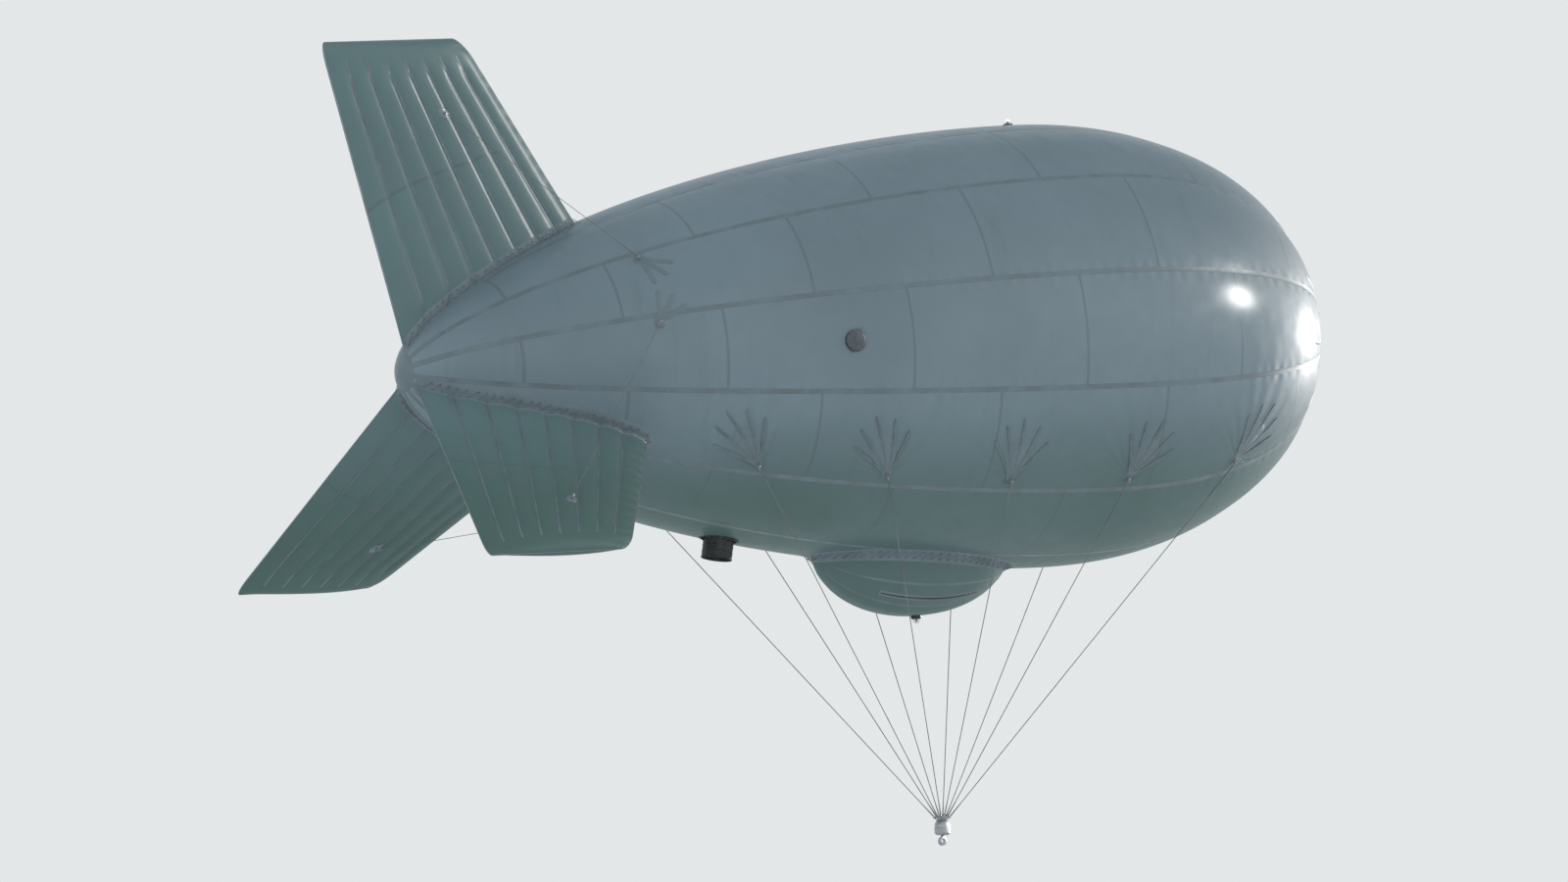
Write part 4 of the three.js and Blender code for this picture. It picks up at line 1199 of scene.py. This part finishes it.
def add_rope(shape, metal, start_point, end_point, radius):
    """A taut line between two rings, each end spliced round a thimble that a shackle holds."""
    along = (end_point - start_point).normalized()
    side = along.cross(Vector((0, 0, 1))).normalized()
    first, last = start_point + along * SPLICE_BACK, end_point - along * SPLICE_BACK
    reach = (last - first).length
    stops = (0.0, 0.05, 0.6 * SPLICE_LENGTH, SPLICE_LENGTH)
    swollen = [radius * width for width in SPLICE_SWELL]
    middle = [SPLICE_LENGTH + (reach - 2 * SPLICE_LENGTH) * i / 6 for i in range(1, 6)]
    places = [*stops, *middle, *(reach - stop for stop in reversed(stops))]
    radii = [*swollen, *[radius] * len(middle), *swollen[::-1]]
    shape.add_tube([first + along * d for d in places], radii, 10)
    for end, inward in ((first, along), (last, -along)):
        centre = end - inward * THIMBLE
        throat = end + inward * 0.012
        turns = [math.radians(35 + 290 * k / 22) for k in range(23)]
        eye = [centre + THIMBLE * (math.cos(t) * inward + math.sin(t) * side) for t in turns]
        shape.add_tube([throat, *eye, throat], radius * 0.95, 8)
        metal.add_loop(centre, inward, side, THIMBLE - radius, 0.003, 20, 6)
        add_shackle(metal, centre, inward, side)


shackles = Shape()
for (side, number), (foot, out, up_hull, across) in PATCHES.items():
    line = Shape()
    top = foot + out * RING_OUT
    towards = (top - HUB_CENTRE).normalized()
    add_rope(line, shackles, HUB_CENTRE + towards * SPLICE_FROM_HUB, top, BRIDLE_RADIUS)
    line.piece(f"bridle_line_{side}_{number}", braided_rope, "rope", f"bridle_{side}_{number}")

# Fin guys: a thinner line on each side of each fin, from a round cloth patch on its skin to one on the
# hull, where three fingers of cloth run on in the line of the pull. A webbing block on each patch holds
# the guy's ring.
GUY = {"fin_station": 16.1, "fin_span": 4.35, "off_middle": 0.06, "hull_station": 13.4, "spread": 49}
GUY_PATCH, GUY_PATCH_PROUD = 0.105, 0.010
GUY_FINGER, GUY_FINGER_HALF, GUY_FINGER_FAN = 0.62, 0.045, (-28, 0, 28)
GUY_RING_OUT = 0.042
GUY_NAMES = {"fin_top": ("top_port", "top_starboard"),
             "fin_starboard": ("starboard_upper", "starboard_lower"),
             "fin_port": ("port_upper", "port_lower")}


def fin_skin_gap(point, turn):
    """How far a point in the hull's frame is outside the fin's skin, across the fin, and its place on it."""
    share = (point.dot(outwards(turn)) - FIN_INNER["span"]) / FIN_SPAN
    chord = min(max((NOSE_X - point.x - fin_size("nose", share)) / fin_chord(share), 0.0), 1.0)
    return abs(point.dot(outwards(turn + 90))) - fin_half(share, chord), share, chord


def fin_anchor(turn, sign, towards):
    """Where a guy comes out of the fin's skin on its way down to the hull."""
    point = outwards(turn) * GUY["fin_span"] + outwards(turn + 90) * sign * GUY["off_middle"]
    point.x = NOSE_X - GUY["fin_station"]
    step = (towards - point).normalized() * 0.004
    while fin_skin_gap(point, turn)[0] < 0:
        point = point + step
    return point


def add_fin_patch(shape, turn, sign, at):
    """A round patch on the fin's skin, centred on a point of it."""
    _, share, chord = fin_skin_gap(at, turn)
    rings = []
    for k in range(13):
        off = -GUY_PATCH + 2 * GUY_PATCH * k / 12
        half = math.sqrt(max(GUY_PATCH ** 2 - off ** 2, 0.0001)) / fin_chord(share)
        base = [HULL_PLACE @ fin_point(turn, share + off / FIN_SPAN, chord + step * half, sign)
                for step in (-1, -0.6, 0, 0.6, 1)]
        rings.append(tape_ring(base, HULL_TURN @ outwards(turn + 90) * sign, GUY_PATCH_PROUD))
    shape.add_rings(rings)


def add_hull_patch(shape, at, pull, sideways):
    """A round patch on the hull with its fingers of cloth, which run on in the line of the pull."""
    for fan in GUY_FINGER_FAN:
        towards = pull * math.cos(math.radians(fan)) + sideways * math.sin(math.radians(fan))
        path = [at + towards * (GUY_FINGER * i / 12 - 0.06) for i in range(13)]
        add_band(shape, path, rounded_halves(GUY_FINGER_HALF, 12, 0.12, 0.12), 0.006)
    turns = [math.pi * i / 14 for i in range(15)]
    disc = [at + pull * GUY_PATCH * math.cos(t) for t in turns]
    add_band(shape, disc, [max(GUY_PATCH * math.sin(t), 0.004) for t in turns], GUY_PATCH_PROUD)


def add_guy(patches, metal, turn, sign, name):
    """One guy with its patches, blocks and rings."""
    hull_end = pressed(in_hull(GUY["hull_station"], turn + sign * GUY["spread"]))
    fin_end = fin_anchor(turn, sign, hull_end)
    hull_out = normal_under(hull_end)
    pull = fin_end - hull_end
    pull = -(pull - pull.dot(hull_out) * hull_out).normalized()
    sideways = hull_out.cross(pull)
    out_of_fin = outwards(turn + 90) * sign
    add_fin_patch(patches, turn, sign, fin_end)
    add_hull_patch(patches, hull_end, pull, sideways)
    ends = []
    for point, normal, beside in ((fin_end, out_of_fin, outwards(turn)), (hull_end, hull_out, sideways)):
        place = facing(point, normal, beside)
        patches.add_block(place, (-0.020, -0.014, 0.004), (0.020, 0.014, 0.030), 0.005)
        ends.append(place @ Vector((0, 0, GUY_RING_OUT)))
        metal.add_loop(ends[-1], HULL_TURN @ normal, HULL_TURN @ beside, 0.020, 0.004, 20, 6)
    line = Shape()
    add_rope(line, metal, *ends, GUY_RADIUS)
    line.piece(f"guy_line_{name}", braided_rope, "rope", f"guy_{name}")


guy_patches = Shape()
for name, turn in FIN_TURNS.items():
    for guy_name, way in zip(GUY_NAMES[name], (-1, 1)):
        add_guy(guy_patches, shackles, turn, way * (-1 if turn < 0 else 1), guy_name)
guy_patches.piece("guy_patches", doubler_cloth, "hull_fabric")
shackles.piece("line_shackles", galvanised_steel, "galvanised_steel")
fin_laces.piece("fin_laces", braided_rope, "rope")

# Belly pod: an air-filled cloth cover round the payload, welded from six lengthwise strips and laced to
# the belly over a skirt of its own, with a service zip on a tape along its starboard side.
POD_STATION = 7.68
POD_HALF_LENGTH, POD_HALF_WIDTH, POD_DEPTH, POD_SUNK = 1.85, 0.86, 0.85, 0.30
POD_CENTRE = Vector((NOSE_X - POD_STATION, 0, POD_SUNK - hull_radius(POD_STATION)))
POD_STRIPS = 6
POD_STRIP_PROUD = 0.028
POD_RINGS = 72
POD_COLUMNS = 60
POD_TOP_COLUMNS = 10
ZIP_FROM, ZIP_TO, ZIP_SHARE = -0.52, 0.52, 0.745
ZIP_TEETH = 131


def pod_point(along, turn, out=0.0):
    """A point on the pod at a share of its length, -1 to 1, and an angle from straight down to starboard."""
    size = math.sqrt(max(1 - along * along, 0.0))
    across = -math.sin(turn) * (POD_HALF_WIDTH + out) * size
    down = -math.cos(turn) * (POD_DEPTH + POD_SUNK + out) * size
    return POD_CENTRE + Vector((along * POD_HALF_LENGTH, across, down))


def pod_edge(along, side):
    """The angle at which the pod meets the belly."""
    return side * last_true(lambda turn: below_skin(pod_point(along, side * turn)) > 0, 0.0, math.pi / 2)


POD_ENDS = [sign * last_true(lambda along: below_skin(pod_point(sign * along, 0.0)) > 0, 0.0, 1.0)
            for sign in (-1, 1)]
POD_MIDDLE, POD_REACH = (POD_ENDS[0] + POD_ENDS[1]) / 2, POD_ENDS[1] - POD_ENDS[0]


def pod_cloth(along, share):
    """The pod's cloth from its port edge to its starboard edge, each strip proud between its seams."""
    turn = pod_edge(along, -1) * (1 - share) + pod_edge(along, 1) * share
    lobe = abs(math.sin(math.pi * POD_STRIPS * share)) ** 0.7
    fade = math.sin(math.pi * min(max(share, 0.0), 1.0)) ** 0.5
    return pod_point(along, turn, POD_STRIP_PROUD * (lobe - 1) * fade)


pod = Shape()
pod_rings = []
for i in range(POD_RINGS + 1):
    along = POD_MIDDLE - POD_REACH / 2 * 0.9999 * math.cos(math.pi * i / POD_RINGS)
    ring = [pod_cloth(along, j / POD_COLUMNS) for j in range(POD_COLUMNS + 1)]
    port, starboard = ring[0], ring[-1]
    ring += [pressed(starboard.lerp(port, k / POD_TOP_COLUMNS), -0.004) for k in range(1, POD_TOP_COLUMNS)]
    pod_rings.append(ring)
pod.add_rings([[HULL_PLACE @ point for point in ring] for ring in pod_rings])
pod_piece = pod.piece("belly_pod_cloth", envelope_cloth, "pod_fabric", "belly_pod", crease_angle=60)

pod_skirt = Shape()
pod_laces = Shape()
pod_eyelets = []
skirted = pod_rings[2:POD_RINGS - 1]
feet = [ring[POD_COLUMNS] for ring in skirted] + [ring[0] for ring in reversed(skirted)]
onwards = [ring[POD_COLUMNS - 2] for ring in skirted] + [ring[2] for ring in reversed(skirted)]
add_lacing(pod_laces, pod_eyelets, add_skirt(pod_skirt, feet, onwards))
pod_skirt.piece("belly_pod_skirt", doubler_cloth, "pod_fabric")
pod_laces.piece("belly_pod_laces", braided_rope, "rope")
scatter("belly_pod_eyelets", pod_eyelets, eyelet_form, EYELET_SIZES, galvanised_steel)


def pod_out(along, share):
    """The way out of the pod's cloth at a place on it."""
    across = pod_cloth(along, share + 0.01) - pod_cloth(along, share - 0.01)
    ahead = pod_cloth(along + 0.01, share) - pod_cloth(along - 0.01, share)
    out = across.cross(ahead).normalized()
    return out if out.dot(pod_cloth(along, share) - POD_CENTRE) > 0 else -out


def add_pod_strip(shape, share, start, length, steps, half_share, proud):
    """A strip along the pod at a share of the way round it."""
    rings = []
    for i in range(steps + 1):
        along = start + length * i / steps
        base = [HULL_PLACE @ pod_cloth(along, share + step * half_share) for step in (-1, -0.8, 0, 0.8, 1)]
        rings.append(tape_ring(base, HULL_TURN @ pod_out(along, share), proud))
    shape.add_rings(rings)


pod_tapes = Shape()
for seam in range(1, POD_STRIPS):
    add_pod_strip(pod_tapes, seam / POD_STRIPS, POD_ENDS[0] * 0.97, POD_REACH * 0.97, 60, 0.008, 0.003)
add_pod_strip(pod_tapes, ZIP_SHARE, ZIP_FROM, ZIP_TO - ZIP_FROM, 30, 0.020, 0.005)
pod_tapes.piece("belly_pod_tapes", seam_tape, "pod_fabric")


def zip_tooth(start, sizes):
    cube = start.node("GeometryNodeMeshCube", inputs={"Size": (0.008, 0.022, 0.006)})
    scale = start.node("ShaderNodeCombineXYZ", inputs={i: sizes["Scale"] for i in range(3)})
    return start.node("GeometryNodeTransform", inputs={"Geometry": cube, "Scale": scale})


def make_moulding(name, clean, dusty):
    made, shader, start = new_material(name, coat_weight=0.05)
    place = start.place()
    grain = start.noise(place, 260.0, 2.0, 0.6)
    dust = start.noise(place, 7.0, 5.0, 0.65)
    tone = start.mix(dust.range(0.42, 0.8), clean, dusty)
    feed(start, shader, tone, dust.range(0.3, 0.75, 0.42, 0.66), grain, 0.0008, 0.3)
    return made


dark_plastic = make_moulding("black moulding", (0.028, 0.030, 0.032, 1), (0.085, 0.088, 0.088, 1))
teeth = []
for i in range(ZIP_TEETH):
    along = ZIP_FROM + 0.02 + (ZIP_TO - ZIP_FROM - 0.04) * i / (ZIP_TEETH - 1)
    out = pod_out(along, ZIP_SHARE)
    teeth.append(facing(pod_cloth(along, ZIP_SHARE) + out * 0.008, out, Vector((1, 0, 0))))
scatter("belly_pod_zip", teeth, zip_tooth, {"Scale": 1.0}, dark_plastic)

# Relief valve: a moulded flange bolted over a hole in the cloth, a three-armed guide, and a sprung lid
# that lifts off its seat when the gas swells. The lid is stiffened by ribs.
FLANGE_TOP = 0.014
VALVE_BORE, VALVE_RADIUS, VALVE_WALL, VALVE_HEIGHT = 0.130, 0.182, 0.152, 0.046
GUIDE_BORE, GUIDE_RADIUS, GUIDE_TOP = 0.0128, 0.026, 0.034
STEM_RADIUS = 0.012
LID_RADIUS = 0.164
SEAT_GAP = 0.0003
SMALL_BOLT = {"Radius": 0.0065, "Height": 0.006}


def turned_round(place, count, first=0.0):
    """A place turned about its own Z axis in equal steps, from so many degrees on."""
    return [place @ Matrix.Rotation(math.radians(360 / count * k + first), 4, "Z") for k in range(count)]


def bolt_circle(place, radius, count, height):
    return [turned @ Matrix.Translation((radius, 0, height)) for turned in turned_round(place, count)]


def hex_head(start, sizes):
    sockets = {"Vertices": 6, "Radius": sizes["Radius"], "Depth": sizes["Height"]}
    head = start.node("GeometryNodeMeshCylinder", inputs=sockets)
    return start.node("GeometryNodeTransform", inputs={"Geometry": head, "Translation": (0, 0, 0.003)})


grey_plastic = make_moulding("grey moulding", (0.105, 0.125, 0.135, 1), (0.150, 0.168, 0.172, 1))
valve = Shape()
valve.add_turned([(VALVE_BORE, -0.016), (VALVE_RADIUS, -0.016), (VALVE_RADIUS, FLANGE_TOP - 0.003),
                  (VALVE_RADIUS - 0.003, FLANGE_TOP), (VALVE_WALL + 0.004, FLANGE_TOP),
                  (VALVE_WALL, FLANGE_TOP + 0.004), (VALVE_WALL, VALVE_HEIGHT - 0.003),
                  (VALVE_WALL - 0.003, VALVE_HEIGHT), (VALVE_BORE + 0.003, VALVE_HEIGHT),
                  (VALVE_BORE, VALVE_HEIGHT - 0.003)], VALVE_SEAT, 72)
valve.add_turned([(GUIDE_BORE, FLANGE_TOP), (GUIDE_RADIUS, FLANGE_TOP), (GUIDE_RADIUS, GUIDE_TOP),
                  (GUIDE_BORE, GUIDE_TOP)], VALVE_SEAT, 24)
for place in turned_round(VALVE_SEAT, 3):
    valve.add_block(place, (0.020, -0.007, 0.018), (VALVE_BORE + 0.008, 0.007, 0.030), 0.002)
for place in turned_round(VALVE_SEAT, 12, 15):
    valve.add_block(place, (0.150, -0.003, 0.012), (0.172, 0.003, 0.026), 0.001)
valve.piece("valve_ring_moulded", grey_plastic, "dark_plastic", "valve_ring", crease_angle=30)
valve_bolts = bolt_circle(VALVE_SEAT, 0.166, 12, FLANGE_TOP)
scatter("valve_bolts", valve_bolts, hex_head, SMALL_BOLT, galvanised_steel)

lid_rest = VALVE_HEIGHT + SEAT_GAP
plate = [(STEM_RADIUS, 0.0), (LID_RADIUS - 0.002, 0.0), (LID_RADIUS, 0.002), (LID_RADIUS, 0.010),
         (LID_RADIUS - 0.003, 0.013), (0.134, 0.022), (0.060, 0.029), (0.030, 0.030), (0.028, 0.034),
         (0.0, 0.034)]
rib = [(0.026, 0.020), (0.026, 0.034), (0.100, 0.030), (0.150, 0.019), (0.150, 0.010)]
lid = Shape()
lid.add_turned([(0.0, -0.040), (STEM_RADIUS - 0.002, -0.040), (STEM_RADIUS, -0.038),
                *((radius, lid_rest + rise) for radius, rise in plate)], VALVE_SEAT, 72)
for place in turned_round(VALVE_SEAT, 8):
    lid.add_slab(place, [(radius, lid_rest + rise) for radius, rise in rib], 0.003)
lid.piece("valve_lid_moulded", grey_plastic, "dark_plastic", "valve_lid", body="valve_lid", crease_angle=30)

# Blower: a bolted duct of moulded plastic under the belly, with a finned electric motor on three arms, its
# cable clipped down one of them, and a fan of six twisted blades that keeps the air cell full.
DUCT_INNER, DUCT_OUTER, DUCT_FLANGE, DUCT_DROP = 0.240, 0.250, 0.330, 0.330
BAND_RADIUS, BANDS_FROM, LIP_RADIUS = 0.2545, (0.112, 0.212), 0.257
MOTOR_RADIUS, MOTOR_FROM, MOTOR_TO = 0.062, 0.080, 0.200
MOTOR_BORE, BORE_END = 0.013, 0.140
MOTOR_FINS, FIN_PITCH, FIN_DEPTH = 9, 0.0105, 0.007
ARM_HEIGHT, ARM_HALF_DEPTH = 0.130, 0.0192
LEAD_RADIUS = 0.0042
LARGE_BOLT = {"Radius": 0.008, "Height": 0.007}
BLADES, BLADE_STEPS, BLADE_HEIGHT = 6, 12, 0.2283
BLADE_ROOT, FAN_TIP = 0.048, 0.230

duct = Shape()
bands = []
for low in BANDS_FROM:
    bands += [(DUCT_OUTER, low), (BAND_RADIUS, low + 0.006), (BAND_RADIUS, low + 0.016),
              (DUCT_OUTER, low + 0.022)]
duct.add_turned([(DUCT_INNER, -0.026), (DUCT_FLANGE, -0.026), (DUCT_FLANGE, FLANGE_TOP - 0.003),
                 (DUCT_FLANGE - 0.003, FLANGE_TOP), (0.262, FLANGE_TOP), (0.2515, 0.026),
                 (DUCT_OUTER, 0.034), *bands, (DUCT_OUTER, DUCT_DROP - 0.022),
                 (LIP_RADIUS, DUCT_DROP - 0.014), (LIP_RADIUS, DUCT_DROP - 0.004),
                 (LIP_RADIUS - 0.0045, DUCT_DROP), (DUCT_INNER + 0.0045, DUCT_DROP),
                 (DUCT_INNER, DUCT_DROP - 0.005)], BLOWER_SEAT, 96)
for place in turned_round(BLOWER_SEAT, 3):
    arm = []
    for x, half in ((MOTOR_RADIUS - 0.008, 0.015), (0.12, 0.011), (0.19, 0.011), (DUCT_INNER + 0.004, 0.014)):
        outline = [(-1, 0), (-0.6, 1), (0.6, 1), (1, 0), (0.6, -1), (-0.6, -1)]
        arm.append([place @ Vector((x, y * half, ARM_HEIGHT + z * ARM_HALF_DEPTH)) for y, z in outline])
    duct.add_rings(arm)
for place in turned_round(BLOWER_SEAT, 16, 11.25):
    duct.add_slab(place, [(0.248, 0.012), (0.308, 0.012), (0.248, 0.060)], 0.0035)
duct.piece("blower_duct_moulded", dark_plastic, "dark_plastic", "blower_duct", crease_angle=30)

motor = Shape()
grooves = []
for k in range(MOTOR_FINS):
    low = MOTOR_FROM + 0.012 + FIN_PITCH * k
    grooves += [(MOTOR_RADIUS, low), (MOTOR_RADIUS, low + 0.005), (MOTOR_RADIUS - FIN_DEPTH, low + 0.0055),
                (MOTOR_RADIUS - FIN_DEPTH, low + 0.010)]
motor.add_turned([(0.0, MOTOR_FROM), (MOTOR_RADIUS - 0.006, MOTOR_FROM), (MOTOR_RADIUS, MOTOR_FROM + 0.006),
                  *grooves, (MOTOR_RADIUS, MOTOR_TO - 0.006), (MOTOR_RADIUS - 0.004, MOTOR_TO),
                  (MOTOR_BORE, MOTOR_TO), (MOTOR_BORE, BORE_END), (0.0, BORE_END)], BLOWER_SEAT, 48)
motor.piece("blower_motor", galvanised_steel, "galvanised_steel", crease_angle=30)
blower_bolts = bolt_circle(BLOWER_SEAT, 0.312, 16, FLANGE_TOP)
scatter("blower_bolts", blower_bolts, hex_head, LARGE_BOLT, galvanised_steel)

lead = Shape()
lead_path = [(0.050, 0.076), (0.066, 0.070), (0.085, 0.088), (0.110, 0.104), (0.160, 0.106), (0.215, 0.106),
             (0.236, 0.098), (0.238, 0.060), (0.238, -0.02)]
lead.add_tube([BLOWER_SEAT @ Vector((out, 0, down)) for out, down in lead_path], LEAD_RADIUS, 8)
for out in (0.115, 0.165, 0.212):
    lead.add_block(BLOWER_SEAT, (out - 0.004, -0.013, 0.098), (out + 0.004, 0.013, 0.112), 0.001)
lead.piece("blower_motor_lead", dark_plastic, "dark_plastic")


def blade_section(share, half):
    """A blade's outline at a share of its length: two bowed faces between its edges, set at its pitch."""
    pitch = math.radians(40 - 13 * share)
    across, up = math.cos(pitch), math.sin(pitch)
    thick = 0.0040 - 0.0022 * share
    section = []
    for side, steps in ((1, range(9)), (-1, range(1, 8))):
        for j in steps:
            along = (1 - 2 * j / 8) * side
            y = along * half
            z = 0.10 * half * (1 - along * along) + side * thick * math.sqrt(max(1 - along * along, 0.0))
            section.append((y * across - z * up, y * up + z * across))
    return section


fan = Shape()
fan.add_turned([(0.0, 0.1453), (0.012, 0.1453), (0.012, 0.2003), (0.056, 0.2003), (0.060, 0.2043),
                (0.060, 0.236), (0.056, 0.243), (0.044, 0.2505), (0.026, 0.2550), (0.0, 0.2563)],
               BLOWER_SEAT, 48)
for place in turned_round(BLOWER_SEAT, BLADES):
    rings = []
    for i in range(BLADE_STEPS + 1):
        share = i / BLADE_STEPS
        radius = BLADE_ROOT + (FAN_TIP - BLADE_ROOT) * share
        half = 0.024 + 0.020 * share if i < BLADE_STEPS else 0.034
        rings.append([place @ Vector((radius, y, BLADE_HEIGHT + z)) for y, z in blade_section(share, half)])
    fan.add_rings(rings)
fan.piece("blower_fan_bladed", polished_aluminium, "polished_aluminium", "blower_fan", body="fan",
          crease_angle=35)

# Beacons: a moulded base screwed to the cloth, a rubber ring, and a clear dome over a lamp with a ribbed
# core.
BASE_RADIUS, BASE_TOP = 0.090, 0.036
RUBBER_INNER, RUBBER_OUTER = 0.0665, 0.072
DOME_RADIUS, DOME_STRETCH, DOME_INSIDE = 0.066, 1.2, 0.93
UPSIDE_DOWN = Matrix.Rotation(math.pi, 4, "X")
POD_BOTTOM = HULL_PLACE @ Matrix.Translation(POD_CENTRE - Vector((0, 0, POD_DEPTH + POD_SUNK))) @ UPSIDE_DOWN


def make_dome_glass():
    made, shader, start = new_material("clear dome", transmission_weight=1.0)
    shader.inputs["IOR"].default_value = 1.46
    haze = start.noise(start.place(), 40.0, 3.0, 0.6)
    tone = start.mix(haze.range(0.4, 0.8), (0.95, 0.97, 0.98, 1), (0.84, 0.87, 0.88, 1))
    feed(start, shader, tone, haze.range(0.3, 0.8, 0.03, 0.14))
    return made


def make_lamp_core():
    made, shader, start = new_material("lamp core", metallic=0.6)
    sockets = {"Vector": start.place(), "Scale": 90.0}
    cells = start.node("ShaderNodeTexVoronoi", {"feature": "DISTANCE_TO_EDGE"}, sockets)
    tone = start.mix(cells.range(0.02, 0.12), (0.35, 0.34, 0.30, 1), (0.86, 0.83, 0.72, 1))
    feed(start, shader, tone, cells.range(0.0, 0.2, 0.5, 0.2), cells, 0.001, 0.5)
    return made


dome_glass = make_dome_glass()
lamp_core = make_lamp_core()
foot = BASE_TOP + SEAT_GAP
rises = [math.pi / 2 * i / 14 for i in range(15)]
dome = [(DOME_RADIUS * math.cos(t), DOME_STRETCH * DOME_RADIUS * math.sin(t)) for t in rises]
lining = [(DOME_INSIDE * radius, DOME_INSIDE * rise) for radius, rise in reversed(dome)]
ridges = []
for k in range(6):
    ridges += [(0.022, 0.010 + 0.007 * k), (0.026, 0.0135 + 0.007 * k)]
core_outline = [(0.0, 0.0), (0.040, 0.0), (0.036, 0.006), (0.022, 0.008), *ridges, (0.018, 0.056),
                (0.0, 0.060)]
for name, seat in (("top_beacon", seat_on(5.2, 0)), ("pod_beacon", POD_BOTTOM)):
    base = Shape()
    base.add_turned([(0.0, -0.014), (BASE_RADIUS, -0.014), (BASE_RADIUS, BASE_TOP - 0.014),
                     (BASE_RADIUS - 0.003, BASE_TOP - 0.010), (BASE_RADIUS - 0.012, BASE_TOP),
                     (0.0, BASE_TOP)], seat, 48)
    base.add_turned([(0.062, BASE_TOP - 0.002), (RUBBER_OUTER, BASE_TOP - 0.002),
                     (RUBBER_OUTER, BASE_TOP + 0.004), (RUBBER_OUTER - 0.003, BASE_TOP + 0.007),
                     (RUBBER_INNER, BASE_TOP + 0.007), (RUBBER_INNER, BASE_TOP)], seat, 48)
    base.piece(f"{name}_base_moulded", dark_plastic, "dark_plastic", f"{name}_base", crease_angle=30)
    lens = Shape()
    lens.add_turned([(radius, foot + rise) for radius, rise in dome + lining], seat, 48)
    lens.piece(f"{name}_dome", dome_glass, "lamp_glass", f"{name}_lens")
    core = Shape()
    core.add_turned([(radius, foot + rise) for radius, rise in core_outline], seat, 32)
    core.piece(f"{name}_lamp", lamp_core, "polished_aluminium", crease_angle=25)
    scatter(f"{name}_screws", bolt_circle(seat, 0.081, 6, BASE_TOP - 0.006), domed_head, {"Radius": 0.005},
            galvanised_steel)

# Hub and tether eye: the cast hub gathers the ten bridle lines, each on a lug of its own, and the forged
# eye turns in it on a shouldered shank, so that the balloon can swing round with the wind.
HUB_RADIUS, HUB_HEIGHT, HUB_FOOT, BAND_OUT = 0.130, 0.250, 0.105, 0.136
HUB_BORE, HEAD_ROOM, ROOM_FROM, ROOM_TO = 0.0315, 0.048, 0.1497, 0.197
EYE_RADIUS, EYE_BORE, EYE_HALF = 0.072, 0.032, 0.032
SHANK_RADIUS, SHANK_HEAD, HEAD_FROM, HEAD_TO = 0.030, 0.045, 0.150, 0.182
LEVEL = Matrix.Identity(4)

hub = Shape()
crown = [(HUB_RADIUS * math.cos(t), HUB_HEIGHT + HUB_RADIUS * math.sin(t)) for t in
         [math.pi / 2 * i / 16 for i in range(17)]]
hub.add_turned([(HUB_BORE, HUB_FOOT), (HUB_RADIUS - 0.027, HUB_FOOT), (HUB_RADIUS - 0.022, HUB_FOOT + 0.003),
                (HUB_RADIUS - 0.002, 0.128), (HUB_RADIUS, 0.133), (HUB_RADIUS, 0.178), (BAND_OUT, 0.184),
                (BAND_OUT, 0.206), (HUB_RADIUS, 0.212), *crown, (0.0, ROOM_TO), (HEAD_ROOM, ROOM_TO),
                (HEAD_ROOM, ROOM_FROM), (HUB_BORE, ROOM_FROM)], LEVEL, 72)
for foot, out, up_hull, across in PATCHES.values():
    towards = (foot + out * RING_OUT - HUB_CENTRE).normalized()
    side = towards.cross(Vector((0, 0, 1))).normalized()
    lug_place = Matrix((towards, side, towards.cross(side))).transposed().to_4x4()
    lug_place.translation = HUB_CENTRE
    hub.add_block(lug_place, (0.115, -0.020, -0.006), (0.168, 0.020, 0.006), 0.009)
hub.piece("bridle_hub_cast", galvanised_steel, "galvanised_steel", "bridle_hub", crease_angle=35)
hub_bolts = bolt_circle(UPSIDE_DOWN, 0.085, 8, -HUB_FOOT)
scatter("bridle_hub_bolts", hub_bolts, hex_head, LARGE_BOLT, galvanised_steel)

eye = Shape()
cheek = [(EYE_BORE, 0.004), (EYE_BORE + 0.004, 0.0), (EYE_RADIUS - 0.009, 0.0), (EYE_RADIUS - 0.0026, 0.0026),
         (EYE_RADIUS, 0.009)]
eye.add_turned([(radius, inset - EYE_HALF) for radius, inset in cheek]
               + [(radius, EYE_HALF - inset) for radius, inset in reversed(cheek)],
               Matrix.Rotation(math.pi / 2, 4, "X"), 64)
eye.add_turned([(0.0, 0.052), (SHANK_RADIUS, 0.052), (SHANK_RADIUS, 0.094), (SHANK_RADIUS - 0.002, 0.097),
                (SHANK_RADIUS - 0.002, 0.104), (SHANK_RADIUS, 0.107), (SHANK_RADIUS, HEAD_FROM),
                (SHANK_HEAD, HEAD_FROM), (SHANK_HEAD, HEAD_TO), (0.0, HEAD_TO)], LEVEL, 48)
eye.piece("swivel_eye_forged", galvanised_steel, "galvanised_steel", "swivel_eye", body="tether_eye",
          crease_angle=35)
